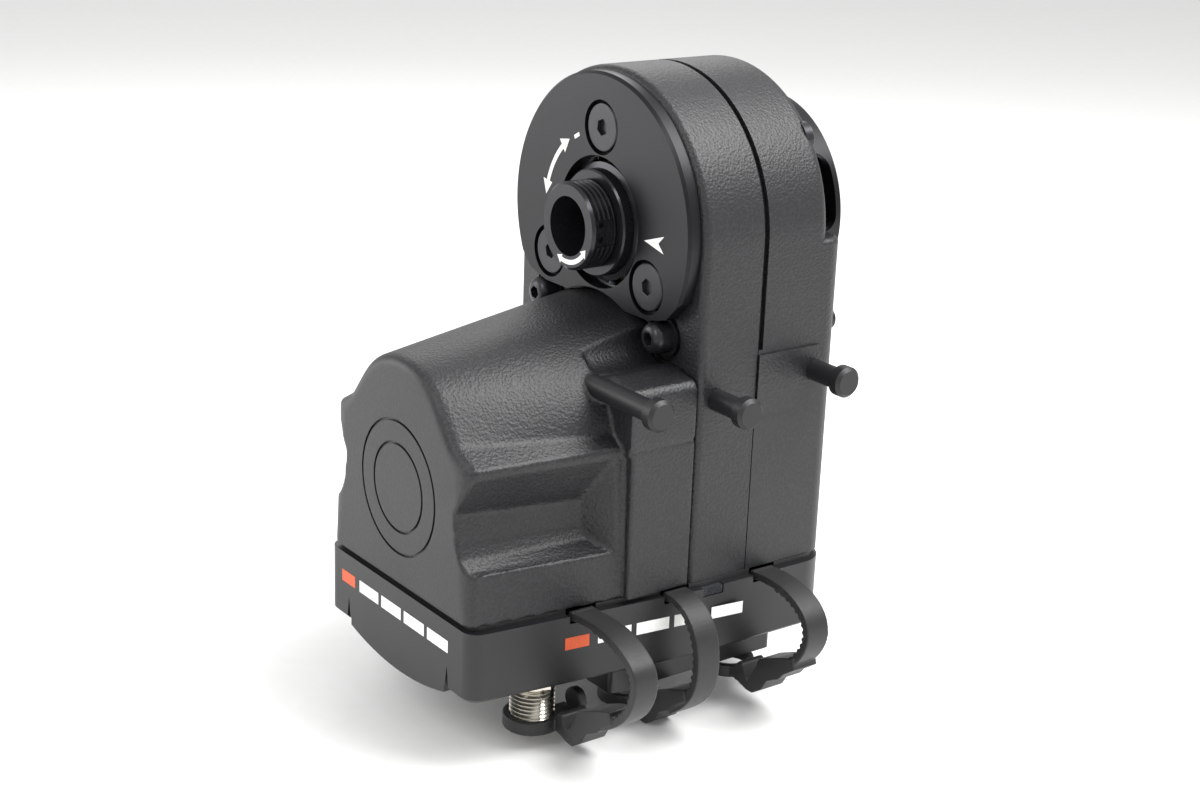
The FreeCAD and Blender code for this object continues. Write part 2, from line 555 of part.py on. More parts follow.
def make_rear_shell():
    upper = tower(TOWER_HALF, SEAM_REAR_Y, UPPER_REAR_Y, TOWER_BOTTOM_Z)
    upper = upper.makeFillet(2.4, [e for e in front_edges(upper, UPPER_REAR_Y)
                                   if e.BoundBox.ZMax > 1])
    lower = box(-TOWER_HALF, TOWER_HALF, SEAM_REAR_Y + 6, LOWER_REAR_Y, TOWER_BOTTOM_Z, -0.6)
    upright = [e for e in lower.Edges if abs(e.tangentAt(e.FirstParameter).z) > 0.99
               and abs(e.Vertexes[0].Y - LOWER_REAR_Y) < 0.01]
    lower = lower.makeFillet(REAR_CORNER_R, upright)
    top_rim = [e for e in lower.Edges if e.BoundBox.ZMin > -0.7
               and e.BoundBox.YMax > LOWER_REAR_Y - REAR_CORNER_R - 0.1
               and e.BoundBox.YMin > 25]
    lower = lower.makeFillet(1.0, top_rim)
    shell = upper.fuse(lower)
    shell = shell.cut(rod_y(0, 0, GUARD_R + 0.5, UPPER_REAR_Y, 40))
    pad = box(TOWER_HALF - 1, TOWER_HALF + 0.4, SEAM_REAR_Y, 29.0, -30.2, -19.2)
    shell = shell.fuse(pad)
    groove = tower(TOWER_HALF + 2, SEAM_REAR_Y - 1, SEAM_REAR_Y + 0.9, TOWER_BOTTOM_Z - 1)
    groove = groove.cut(tower(TOWER_HALF - 0.9, SEAM_REAR_Y - 2, 20, TOWER_BOTTOM_Z - 2))
    groove = groove.cut(box(-40, 40, 10, 20, -60, -18.4))
    shell = shell.cut(groove)
    hollow = tower(TOWER_HALF - WALL, SEAM_REAR_Y - 1, UPPER_REAR_Y - 2.6, TOWER_BOTTOM_Z + WALL)
    hollow = hollow.fuse(box(-21, 21, SEAM_REAR_Y, LOWER_REAR_Y - WALL,
                             TOWER_BOTTOM_Z + WALL, -24.0))
    bosses = [rod_y(0, 0, 15.4, 21.4, 40)]
    for x, z in CASE_SCREWS:
        bosses.append(rod_y(x, z, 3.2, SEAM_REAR_Y, 40))
    for boss in bosses:
        hollow = hollow.cut(boss)
    shell = shell.cut(hollow)
    cuts = [rod_y(0, 0, BEARING_OUT_R + FIT, 20, REAR_BEARING_Y + BEARING_WIDTH),
            rod_y(0, 0, 9.6, 20, 40)]
    for x, z in CASE_SCREWS:
        seat = (LOWER_REAR_Y if z < 0 else UPPER_REAR_Y) - 2.2
        cuts.append(rod_y(x, z, 1.6, 10, 40))
        cuts.append(rod_y(x, z, 2.9, seat, 40))
    for x, z in LOW_SCREWS:
        cuts.append(rod_y(x, z, 1.25 + FIT, 27, 40))
    for x, y in BASE_SCREWS:
        cuts.append(post_z(x, y, 1.5 + FIT, -62, -56.8))
    for angle in GUARD_SCREW_ANGLES:
        x, z = polar(GUARD_SCREW_R, angle)
        cuts.append(rod_y(x, z, 1.0 + FIT, 26, 31))
    y, z, root_x = PEG_PLACES["rear_shell_peg"]
    cuts.append(pin_x(y, z, PEG_SPIGOT_R + FIT, root_x - 5, root_x + 1))
    cuts.append(box(-16, 16, SEAM_REAR_Y - 1, 29, TOWER_BOTTOM_Z - 1, TOWER_BOTTOM_Z + 3))
    for cutter in cuts:
        shell = shell.cut(cutter)
    save("gearbox_rear_shell", shell)


GUARD_SCREW_R = 18.6
GUARD_SCREW_ANGLES = (90.0, 210.0, 330.0)


def make_guard():
    """Fixed ring round the knob, with a finger window on each side."""
    wall, lip_inner = 1.6, 12.6
    inside = GUARD_R - wall
    guard = turn_y([(inside, UPPER_REAR_Y), (GUARD_R, UPPER_REAR_Y), (GUARD_R, GUARD_END_Y - 0.8),
                    (GUARD_R - 0.8, GUARD_END_Y), (lip_inner, GUARD_END_Y),
                    (lip_inner, GUARD_END_Y - 1.2), (inside, GUARD_END_Y - 1.2)])
    crown = ring_y(0, 0, 24.0, GUARD_R - 0.8, UPPER_REAR_Y, UPPER_REAR_Y + 2.2)
    side_room = [prism_y([(0, 0), (40, 57.1), (60, 0), (40, -57.1)], 20, 50)]
    crown = crown.cut(side_room[0]).cut(mirrored(side_room[0])).cut(box(-40, 40, 20, 50, -40, 0))
    guard = guard.fuse(crown)
    for angle in GUARD_SCREW_ANGLES:
        x, z = polar(GUARD_SCREW_R, angle)
        ear = rod_y(x, z, 1.9, UPPER_REAR_Y, UPPER_REAR_Y + 1.0)
        guard = guard.fuse(ear.cut(rod_y(0, 0, KNOB_R + 0.4, 20, 50)))
    mid_y, half_y = 34.5, 2.8
    window = box(10, 30, mid_y - half_y, mid_y + half_y, 1.4, 9.2)
    window = window.fuse(pin_x(mid_y, 1.4, half_y, 10, 30))
    window = window.fuse(pin_x(mid_y, 9.2, half_y, 10, 30))
    for cutter in both_sides(window):
        guard = guard.cut(cutter)
    for angle in GUARD_SCREW_ANGLES:
        x, z = polar(GUARD_SCREW_R, angle)
        guard = guard.cut(rod_y(x, z, 1.05, 20, UPPER_REAR_Y + 1.01))
        guard = guard.cut(rod_y(x, z, 1.85, UPPER_REAR_Y + 0.7, UPPER_REAR_Y + 3.0))
    save("knob_guard", guard)


def make_gasket():
    """Thin cord seal between the two tower shells."""
    outer = tower(TOWER_HALF - 1.2, SEAM_FRONT_Y, SEAM_REAR_Y, TOWER_BOTTOM_Z + 0.6)
    inner = tower(TOWER_HALF - WALL, SEAM_FRONT_Y - 1, SEAM_REAR_Y + 1, TOWER_BOTTOM_Z + WALL)
    gasket = outer.cut(inner)
    for x, z in CASE_SCREWS:
        gasket = gasket.cut(rod_y(x, z, 3.2, 10, 20))
    save("seam_gasket", gasket)


# ---- base ---------------------------------------------------------------------------
SKIRT_HALF, SKIRT_END_Z, SKIRT_LOW_Z = 15.7, -73.0, -75.2   # curved skirt under the front
PORT_BLOCK = (5.0, 25.0, -12.2, 24.2)      # x from, x to, y from, y to
PORT_BLOCK_BOTTOM_Z = -77.0
AUX_PORT_Y, USB_PORT_Y, PORT_X = -0.9, 18.5, 14.5
AUX_SOCKET = (9.8, 7.0)                    # along y, along x
USB_SOCKET = (7.8, 4.2)


def make_base_cover():
    """Tray that closes the motor and tower from below."""
    front = BASE_FRONT_Y
    tray = base_outline(0.0, BASE_BOTTOM_Z, RIM_Z, 3.0, 6.0)
    low = [e for e in tray.Edges if e.BoundBox.ZMax < BASE_BOTTOM_Z + 0.01]
    tray = tray.makeChamfer(0.6, low)
    skirt_face = Part.Face(Part.Wire([
        Part.Arc(V(-SKIRT_HALF, front, SKIRT_END_Z), V(0, front, SKIRT_LOW_Z),
                 V(SKIRT_HALF, front, SKIRT_END_Z)).toShape(),
        Part.makeLine(V(SKIRT_HALF, front, SKIRT_END_Z), V(SKIRT_HALF, front, -71.0)),
        Part.makeLine(V(SKIRT_HALF, front, -71.0), V(-SKIRT_HALF, front, -71.0)),
        Part.makeLine(V(-SKIRT_HALF, front, -71.0), V(-SKIRT_HALF, front, SKIRT_END_Z))]))
    tray = tray.fuse(skirt_face.extrude(V(0, 2.0, 0)))
    hollow = base_outline(BASE_WALL, BASE_BOTTOM_Z + BASE_WALL, RIM_Z + 1, 1.5, 3.0)
    posts = []
    for x, y in BASE_SCREWS:
        posts.append(post_z(x, y, 2.6, BASE_BOTTOM_Z + 1, RIM_Z - 0.2))
    tray = tray.cut(hollow)
    for post in posts:
        tray = tray.fuse(post)
    notch = prism_y([(16.5, -67.9), (15.5, -74.5), (17.5, -74.5)], front - 1, front + 1.6)
    cuts = both_sides(notch)
    cuts.append(box(12.0, 30.0, 4.7, 9.2, -61.4, RIM_Z + 1))
    for x, y in BASE_SCREWS:
        cuts.append(post_z(x, y, 1.6, BASE_BOTTOM_Z - 1, RIM_Z + 1))
        cuts.append(post_z(x, y, 3.0, BASE_BOTTOM_Z - 1, BASE_BOTTOM_Z + 1.2))
    for y in TIE_Y:
        half = TIE_WIDTH / 2 + 0.5
        cuts.append(box(side_half(y) - 4, 40, y - half, y + half, TIE_SLOT_Z, RIM_Z + 1))
    x0, x1, y0, y1 = PORT_BLOCK
    cuts.append(box(x0 - 0.05, x1 + 0.05, y0 - 0.05, y1 + 0.05, BASE_BOTTOM_Z - 1, -69))
    cuts.append(post_z(JACK_X, JACK_Y, JACK_R + FIT, BASE_BOTTOM_Z - 1, -69))
    for cutter in cuts:
        tray = tray.cut(cutter)
    save("base_cover", tray)
    screws = []
    for x, y in BASE_SCREWS:
        screws.append(turn_z([(0, BASE_BOTTOM_Z + 0.1), (2.8, BASE_BOTTOM_Z + 0.1),
                              (1.5, BASE_BOTTOM_Z + 1.2), (1.5, -57.0), (0, -57.0)], x, y))
    save("base_screws", *screws)
    rim = base_outline(1.3, RIM_Z, TOWER_BOTTOM_Z, 2.0, 4.0)
    rim = rim.cut(base_outline(BASE_WALL + 0.2, RIM_Z - 1, RIM_Z + 2, 1.5, 3.0))
    for y in TIE_Y:
        half = TIE_WIDTH / 2 + 0.5
        rim = rim.cut(box(side_half(y) - 4, 40, y - half, y + half, TIE_SLOT_Z, RIM_Z + 2))
    save("base_gasket", rim)
    lens = box(26.6, 28.3, 4.8, 9.1, -61.3, RIM_Z - 0.1)
    save("status_light_window", lens.fuse(box(22.0, 26.6, 5.8, 8.1, -61.3, RIM_Z - 0.1)))


def make_ports():
    """Port block under the base with its two sockets, and the threaded power jack."""
    x0, x1, y0, y1 = PORT_BLOCK
    bottom = PORT_BLOCK_BOTTOM_Z
    block = box(x0, x1, y0, y1, bottom, BASE_BOTTOM_Z + BASE_WALL)
    upright = [e for e in block.Edges if abs(e.tangentAt(e.FirstParameter).z) > 0.99]
    block = block.makeFillet(1.2, upright)
    sockets = []
    for y, (along_y, along_x), wall, name in (
            (AUX_PORT_Y, AUX_SOCKET, 1.1, "aux_port"), (USB_PORT_Y, USB_SOCKET, 0.5, "usb_port")):
        hy, hx = along_y / 2, along_x / 2
        block = block.cut(box(PORT_X - hx - wall - FIT, PORT_X + hx + wall + FIT,
                              y - hy - wall - FIT, y + hy + wall + FIT, bottom - 1, -60))
        shell = box(PORT_X - hx - wall, PORT_X + hx + wall, y - hy - wall, y + hy + wall,
                    bottom - 0.2, -66.2)
        shell = shell.cut(box(PORT_X - hx, PORT_X + hx, y - hy, y + hy, bottom - 1, -67.4))
        sockets.append((name, shell))
    save("port_block", block)
    for name, shell in sockets:
        save(name, shell)
    contacts = []
    for k in range(6):
        y = AUX_PORT_Y + (k - 2.5) * 1.02
        contacts.append(box(PORT_X - 3.4, PORT_X - 2.9, y - 0.2, y + 0.2, bottom + 2, -67.4))
    save("aux_port_contacts", *contacts)
    save("usb_port_tongue", box(PORT_X - 0.5, PORT_X + 0.5, USB_PORT_Y - 2.6,
                                USB_PORT_Y + 2.6, bottom + 1.2, -67.4))
    x, y = JACK_X, JACK_Y
    pitch, thread = 0.75, [(JACK_R, JACK_END_Z + 0.5)]
    for k in range(9):
        z = JACK_END_Z + 0.7 + k * pitch
        thread += [(JACK_R, z), (JACK_R - 0.32, z + pitch / 2), (JACK_R, z + 0.92 * pitch)]
    barrel = turn_z([(2.85, JACK_END_Z), (JACK_R - 0.4, JACK_END_Z)] + thread +
                    [(JACK_R, -67.0), (2.85, -67.0)], x, y)
    save("power_jack_barrel", barrel)
    save("power_jack_insulator", turn_z([(0, -68.6), (2.83, -68.6), (2.83, -66.4), (0, -66.4)],
                                        x, y))
    save("power_jack_pin", turn_z([(0, JACK_END_Z + 1.2), (0.7, JACK_END_Z + 1.2),
                                   (1.05, JACK_END_Z + 1.7), (1.05, -68.6), (0, -68.6)], x, y))
    nut_r, nut_height = 5.5, 2.0
    corners = []
    for k in range(6):
        dx, dy = polar(nut_r, 60 * k)
        corners.append(V(x + dx, y + dy, BASE_BOTTOM_Z - nut_height))
    nut = Part.Face(Part.makePolygon(corners + corners[:1])).extrude(V(0, 0, nut_height))
    save("power_jack_nut", nut.cut(post_z(x, y, JACK_R + FIT, -75, -70)))


def make_board():
    """Control board on the base floor, with its main chips and capacitors."""
    z0, z1 = -66.0, -64.6
    board = box(-20.0, 20.0, -16.0, 26.0, z0, z1)
    board = board.cut(box(5, 22, -8, 7, z0 - 1, z1 + 1)).cut(box(8, 22, 13, 24, z0 - 1, z1 + 1))
    save("control_board", board)
    top = z1 + 0.02
    chips = [box(-12, -3, -4, 5, top, top + 1.4), box(-14, -8, 12, 18, top, top + 1.2),
             box(-2, 4, 14, 19, top, top + 1.2)]
    save("control_chips", *chips)
    cans = [post_z(px, py, 2.6, top, top + 4.4) for px, py in ((-15, -11), (-8, -11))]
    save("board_capacitors", *cans)


# ---- ties ---------------------------------------------------------------------------
TIE_PATHS = (                # middle line of each band, from its slot round to the clasp
    ((31.0, -59.8), (36.1, -60.4), (39.7, -61.8), (42.0, -63.6), (42.8, -65.9),
     (42.5, -68.4), (41.3, -71.1), (39.2, -73.5), (36.5, -75.5), (33.2, -77.3)),
    ((31.2, -60.7), (34.2, -63.0), (35.8, -66.1), (36.3, -69.0), (36.1, -72.4),
     (34.9, -75.6), (32.5, -78.5), (29.4, -80.9)),
    ((33.0, -59.9), (37.2, -60.7), (40.1, -62.2), (41.9, -64.3), (42.4, -66.6),
     (41.8, -69.0), (40.3, -71.4), (38.1, -73.5), (35.2, -75.4)),
)
CLASPS = ((26.9, -83.6), (23.3, -86.0), (29.6, -82.4))   # lowest point of each clasp (x, z)
CLASP_SHAPE = (              # from the clasp's lowest point
    (10.2, 11.0), (6.4, 9.6), (1.3, 7.3), (0.8, 5.8), (-1.5, 1.9), (-3.0, 4.5), (-3.8, 4.8),
    (-5.0, 3.6), (-5.0, 0.9), (-3.7, 0.7), (-1.6, 0.1), (0.0, 0.0), (2.4, 1.6), (3.8, 3.9),
    (6.9, 5.6), (8.0, 6.9), (10.8, 8.9))
CLASP_TO_RING = 9.9          # from the clasp's lowest point to the ring's middle
RING_HEIGHT, RING_WALL = 2.4, 1.1
TOOTH_PITCH, TOOTH_HEIGHT = 1.5, 0.5


def tie_band(centre, y0, y1):
    """Rubber band along a spline in XZ: smooth outside, toothed inside."""
    spline = Part.BSplineCurve()
    spline.interpolate([V(x, y0, z) for x, z in centre])
    length = spline.length()
    teeth = int(length / TOOTH_PITCH)
    outer, inner = [], []

    def offset(share, distance):
        u = spline.parameterAtDistance(length * share, spline.FirstParameter)
        tangent = spline.tangent(u)[0]
        return spline.value(u) + V(-tangent.z, 0, tangent.x) * distance

    for k in range(teeth + 1):
        outer.append(offset(k / teeth, TIE_THICK / 2))
        inner.append(offset(k / teeth, -TIE_THICK / 2))
        if 4 <= k < teeth:
            inner.append(offset((k + 0.5) / teeth, -TIE_THICK / 2 - TOOTH_HEIGHT))
    smooth = Part.BSplineCurve()
    smooth.interpolate(outer[::2] + outer[-1:] if teeth % 2 else outer[::2])
    inner.reverse()
    edges = [smooth.toShape(), Part.makeLine(outer[-1], inner[0])]
    edges += [Part.makeLine(a, b) for a, b in zip(inner, inner[1:])]
    edges.append(Part.makeLine(inner[-1], outer[0]))
    return Part.Face(Part.Wire(edges)).extrude(V(0, y1 - y0, 0))


def make_tie(index):
    """Releasable rubber tie: band, folded clasp and the ring that holds a plug."""
    y, half = TIE_Y[index], TIE_WIDTH / 2
    root = (side_half(y) - TIE_ROOT_DEPTH, TIE_ROOT_Z)
    band = tie_band((root,) + TIE_PATHS[index], y - half, y + half)
    bead = rod_y(root[0], root[1], TIE_BEAD_R, y - half, y + half)
    low_x, low_z = CLASPS[index]
    clasp = prism_y([(low_x + dx, low_z + dz) for dx, dz in CLASP_SHAPE],
                    y - half - 0.3, y + half + 0.3)
    ring_x = low_x - CLASP_TO_RING
    ring_y = JACK_Y if index == 0 else y
    inner_r = JACK_R + FIT if index == 0 else 3.6
    low, high = low_z + 0.6, low_z + 0.6 + RING_HEIGHT
    ring = post_z(ring_x, ring_y, inner_r + RING_WALL, low, high)
    web = box(ring_x, low_x - 4.9, y - half - 0.3, y + half + 0.3, low + 0.4, high)
    tie = band.fuse(bead).fuse(clasp).fuse(ring).fuse(web)
    if index == 0:
        far = y + half
        tie = tie.fuse(rod_y(ring_x + 3.4, high + 1.8, 2.3, far - 0.5, far + 1.1))
        tie = tie.fuse(box(ring_x + 2.0, ring_x + 5.0, far - 0.5, far + 1.1, low + 0.4, high + 1))
    tie = tie.cut(post_z(ring_x, ring_y, inner_r, -100, -60))
    save("cable_tie_%d" % (index + 1), tie.removeSplitter())


# ---- build --------------------------------------------------------------------------
make_mount_plate()
make_screws()
make_drive_hub()
make_bearing("front", FRONT_BEARING_Y)
make_bearing("rear", REAR_BEARING_Y)
make_gears()
make_knob()
make_guard()
make_motor()
make_motor_housing()
make_front_shell()
make_rear_shell()
make_gasket()
make_pegs()
make_base_cover()
make_ports()
make_board()
for number in range(len(TIE_Y)):
    make_tie(number)

guard_screws = []
for angle in GUARD_SCREW_ANGLES:
    gx, gz = polar(GUARD_SCREW_R, angle)
    guard_screws.append(turn_y([(0, 26.2), (1.0, 26.2), (1.0, UPPER_REAR_Y + 0.7),
                                (1.8, UPPER_REAR_Y + 0.7), (1.8, UPPER_REAR_Y + 1.5),
                                (0, UPPER_REAR_Y + 1.5)], gx, gz))
save("guard_screws", *guard_screws)

os.makedirs("parts", exist_ok=True)
for name, shape in parts.items():
    if not shape.isValid():
        raise RuntimeError(name + " is not a valid solid")
    shape.exportStep("parts/" + name + ".step")
    print("%-24s solids %2d  volume %9.1f" % (name, len(shape.Solids), shape.Volume))
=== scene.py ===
"""Looks of a motorised focuser drive: finishes, mouldings, screws, printed marks and light."""
import json
import math

import bmesh
import bpy
from mathutils import Matrix, Vector


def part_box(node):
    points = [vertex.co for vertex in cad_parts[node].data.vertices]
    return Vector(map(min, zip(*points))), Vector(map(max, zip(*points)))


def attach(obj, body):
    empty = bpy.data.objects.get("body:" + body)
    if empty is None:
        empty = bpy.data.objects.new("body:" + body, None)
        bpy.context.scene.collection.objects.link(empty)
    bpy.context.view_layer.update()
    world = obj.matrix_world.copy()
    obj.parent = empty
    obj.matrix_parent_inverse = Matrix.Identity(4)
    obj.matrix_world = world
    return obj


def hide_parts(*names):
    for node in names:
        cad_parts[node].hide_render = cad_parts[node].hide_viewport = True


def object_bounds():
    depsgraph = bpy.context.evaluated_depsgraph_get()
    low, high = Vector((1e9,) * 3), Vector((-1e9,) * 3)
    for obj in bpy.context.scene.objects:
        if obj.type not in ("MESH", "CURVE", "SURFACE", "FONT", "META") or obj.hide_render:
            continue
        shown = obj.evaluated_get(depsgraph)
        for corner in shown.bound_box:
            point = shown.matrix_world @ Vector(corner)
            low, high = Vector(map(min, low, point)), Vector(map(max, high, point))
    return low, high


bl_info = {
    "name": "Focuser Drive Looks",
    "version": (1, 0, 0),
    "blender": (4, 5, 0),
    "location": "View3D > Sidebar > Focuser",
    "description": "Gives the packed focuser drive its real finishes, marks and studio light",
    "category": "Object",
}

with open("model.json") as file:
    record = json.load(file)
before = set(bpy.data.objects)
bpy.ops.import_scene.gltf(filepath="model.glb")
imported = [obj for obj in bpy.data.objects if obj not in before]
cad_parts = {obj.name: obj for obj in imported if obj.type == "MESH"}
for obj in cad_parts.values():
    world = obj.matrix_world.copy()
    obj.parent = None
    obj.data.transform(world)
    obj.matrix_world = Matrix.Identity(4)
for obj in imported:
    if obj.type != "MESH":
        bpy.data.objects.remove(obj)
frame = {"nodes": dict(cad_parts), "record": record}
CAD_BOX = [list(corner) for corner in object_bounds()]
MM = 0.001
PLATE_LOW, PLATE_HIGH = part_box("mount_plate")
HUB_LOW, HUB_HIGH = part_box("drive_hub")
BASE_LOW, BASE_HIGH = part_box("base_cover")
BASE_HALVES = (23.7, 28.5)      # half width of the base at its front and behind its taper
BASE_TAPER_END_Y = 5.0
PLATE_MARK_R, HUB_MARK_R = 15.9, 6.25     # radii of the turning arrows, in millimetres
FRONT_STRIPE_Z, SIDE_STRIPE_Z = -64.3, -64.7
STRIPE_DASHES, STRIPE_LENGTH, STRIPE_HEIGHT, ACCENT_LENGTH = 4, 30.5, 2.2, 5.4
LIGHT_TARGET = (0, 0, -0.02)
LIGHTS = (                      # name, its setting, place, width and height, in metres
    ("Key", "key", (0.24, 0.22, 0.48), 0.42, 0.42),
    ("Side", "side", (-0.45, -0.40, 0.10), 0.3, 0.4),
    ("Rim", "rim", (-0.40, 0.25, 0.30), 0.3, 0.3),
    ("Front", "front", (0.10, -0.42, 0.35), 0.12, 0.25),
)


def linear(code):
    """An sRGB hex colour, such as "1c1d1f", as linear red, green, blue and alpha."""
    channels = [int(code[k:k + 2], 16) / 255 for k in (0, 2, 4)]
    return [c / 12.92 if c <= 0.04045 else ((c + 0.055) / 1.055) ** 2.4 for c in channels] + [1.0]


def colour(name, description, code):
    return bpy.props.FloatVectorProperty(name=name, description=description, subtype="COLOR",
                                         size=4, min=0, max=1, default=linear(code))


def size(name, description, default):
    return bpy.props.FloatProperty(name=name, description=description, unit="LENGTH",
                                   precision=5, default=default)


def number(name, description, default):
    return bpy.props.FloatProperty(name=name, description=description, default=default)


# ---- what a user would change -------------------------------------------------------
class FinishSettings(bpy.types.PropertyGroup):
    """Colours and grain of the finishes."""
    shell: colour("Shell", "Moulded shell and motor housing", "18191b")
    base: colour("Base", "Satin base cover", "111214")
    anodised: colour("Anodised", "Anodised plate and hub", "1a1a1d")
    rubber: colour("Rubber", "Rubber ties", "131313")
    nickel: colour("Nickel", "Plated power jack", "cfcabf")
    screw: colour("Screws", "Black oxide screws", "38383b")
    mark: colour("White ink", "Pad-printed marks", "f1f1ee")
    accent: colour("Orange ink", "Printed accent on the base", "d9582c")
    grain: size("Grain", "Width of one cell of the leather grain", 0.5 * MM)
    grain_depth: size("Grain depth", "Height of the leather grain", 0.13 * MM)


class ShapeSettings(bpy.types.PropertyGroup):
    """Sizes of the softened and added shapes."""
    shell_edge: size("Shell edge", "Rounding of the tower shells' edges", 0.35 * MM)
    base_edge: size("Base edge", "Rounding of the base cover's edges", 0.35 * MM)
    housing_voxel: size("Housing detail", "Grid that softens the motor housing", 0.42 * MM)
    tie_voxel: size("Tie detail", "Grid that softens the rubber ties", 0.18 * MM)
    ink: size("Ink", "Thickness of printed marks", 0.03 * MM)
    screw_turn: number("Screw turn", "How far a screw's socket may be turned, in radians", 1.0)


class StageSettings(bpy.types.PropertyGroup):
    """Camera, floor and lights."""
    camera_spot: bpy.props.FloatVectorProperty(
        name="Camera spot", description="Where the camera stands", subtype="TRANSLATION",
        unit="LENGTH", default=(0.274085, -0.202544, 0.081222))
    azimuth: bpy.props.FloatProperty(name="Azimuth", description="Turn to the camera's side",
                                     subtype="ANGLE", default=math.radians(53.272))
    elevation: bpy.props.FloatProperty(name="Elevation", description="How far it looks down",
                                       subtype="ANGLE", default=math.radians(18.487))
    roll: bpy.props.FloatProperty(name="Roll", description="Lean of the camera",
                                  subtype="ANGLE", default=math.radians(2.145))
    lens: bpy.props.FloatProperty(name="Lens", description="Focal length in millimetres",
                                  default=60.26)
    floor: colour("Floor", "Pale floor", "f4f4f3")
    sky: number("Sky", "Brightness of the white room", 0.72)
    backdrop: number("Backdrop", "Brightness of the room where the camera sees it", 1.3)
    key: number("Key light", "Power of the light above and behind, in watts", 5.5)
    side: number("Side light", "Power of the light at the left, in watts", 1.5)
    rim: number("Rim light", "Power of the light behind at the left, in watts", 0.6)
    front: number("Front light", "Power of the narrow light above the front, in watts", 0.8)


# ---- node trees ---------------------------------------------------------------------
def add(tree, kind, values=None, links=None, **settings):
    """One node with its settings, plain socket values and links from other nodes' outputs."""
    made = tree.nodes.new(kind)
    for name, value in settings.items():
        setattr(made, name, value)
    for name, value in (values or {}).items():
        made.inputs[name].default_value = value
    for name, output in (links or {}).items():
        tree.links.new(output, made.inputs[name])
    return made


def material(name):
    """A new material with an empty node tree."""
    made = bpy.data.materials.new(name)
    made.use_nodes = True
    made.node_tree.nodes.clear()
    return made


def finish_surface(made, shader):
    """Joins the last shader to the material's output."""
    add(made.node_tree, "ShaderNodeOutputMaterial", links={"Surface": shader.outputs[0]})
    return made


def place_of(tree):
    """The Object coordinates, in metres."""
    return add(tree, "ShaderNodeTexCoord").outputs["Object"]


def spread(tree, value, low, high):
    """Spreads a 0 to 1 pattern over a narrower range."""
    return add(tree, "ShaderNodeMapRange", {"To Min": low, "To Max": high},
               {"Value": value}).outputs["Result"]


def shaded(tree, pattern, base, share):
    """The base colour, darkened and lightened a little by a pattern."""
    dark = [c * (1 - share) for c in base[:3]] + [1.0]
    light = [min(1.0, c * (1 + share)) for c in base[:3]] + [1.0]
    ramp = add(tree, "ShaderNodeValToRGB", links={"Fac": pattern})
    ramp.color_ramp.elements[0].position = 0.3
    ramp.color_ramp.elements[0].color = dark
    ramp.color_ramp.elements[1].position = 0.7
    ramp.color_ramp.elements[1].color = light
    return ramp.outputs["Color"]


def leather_grain(tree, cell):
    """Pebbled grain of the mould: rounded cells, creased by a finer noise."""
    place = place_of(tree)
    wander = add(tree, "ShaderNodeTexNoise", {"Scale": 0.45 / cell, "Detail": 2.0},
                 {"Vector": place})
    moved = add(tree, "ShaderNodeVectorMath", {1: (0.9 * cell,) * 3},
                {0: wander.outputs["Color"]}, operation="MULTIPLY")
    bent = add(tree, "ShaderNodeVectorMath", links={0: place, 1: moved.outputs[0]},
               operation="ADD")
    cells = add(tree, "ShaderNodeTexVoronoi", {"Scale": 1 / cell, "Smoothness": 0.6},
                {"Vector": bent.outputs[0]}, feature="SMOOTH_F1")
    creases = add(tree, "ShaderNodeTexNoise", {"Scale": 2.2 / cell, "Detail": 3.0},
                  {"Vector": place})
    both = add(tree, "ShaderNodeMix", {"Factor": 0.4},
               {"A": cells.outputs["Distance"], "B": creases.outputs["Fac"]})
    return both.outputs[0]


def grained_abs(name, base, cell, depth, axis=None, limit=0.0, fade=MM):
    """Injection-moulded black ABS with a fine leather grain: soft broken highlights.

    Below the limit along an axis the mould is polished instead, so the surface is plain satin.
    """
    made = material(name)
    tree = made.node_tree
    pattern = leather_grain(tree, cell)
    bump = add(tree, "ShaderNodeBump", {"Distance": depth, "Strength": 0.9}, {"Height": pattern})
    if axis is not None:
        along = add(tree, "ShaderNodeSeparateXYZ", links={"Vector": place_of(tree)})
        amount = add(tree, "ShaderNodeMapRange",
                     {"From Min": limit - fade, "From Max": limit + fade,
                      "To Min": 0.2, "To Max": 0.9}, {"Value": along.outputs[axis]})
        tree.links.new(amount.outputs["Result"], bump.inputs["Strength"])
    cloud = add(tree, "ShaderNodeTexNoise", {"Scale": 60.0, "Detail": 3.0},
                {"Vector": place_of(tree)})
    shader = add(tree, "ShaderNodeBsdfPrincipled", {"IOR": 1.52, "Specular IOR Level": 0.5},
                 {"Base Color": shaded(tree, pattern, base, 0.5),
                  "Roughness": spread(tree, cloud.outputs["Fac"], 0.40, 0.50),
                  "Normal": bump.outputs["Normal"]})
    return finish_surface(made, shader)


def satin_plastic(name, base, low, high, spark=0.2, depth=0.012 * MM):
    """Black ABS or nylon from a finely blasted mould: even satin with a very fine tooth."""
    made = material(name)
    tree = made.node_tree
    place = place_of(tree)
    tooth = add(tree, "ShaderNodeTexNoise", {"Scale": 1 / (0.25 * MM), "Detail": 4.0},
                {"Vector": place})
    cloud = add(tree, "ShaderNodeTexNoise", {"Scale": 90.0, "Detail": 3.0}, {"Vector": place})
    bump = add(tree, "ShaderNodeBump", {"Distance": depth, "Strength": 0.8},
               {"Height": tooth.outputs["Fac"]})
    shader = add(tree, "ShaderNodeBsdfPrincipled", {"IOR": 1.52},
                 {"Base Color": shaded(tree, tooth.outputs["Fac"], base, spark),
                  "Roughness": spread(tree, cloud.outputs["Fac"], low, high),
                  "Normal": bump.outputs["Normal"]})
    return finish_surface(made, shader)


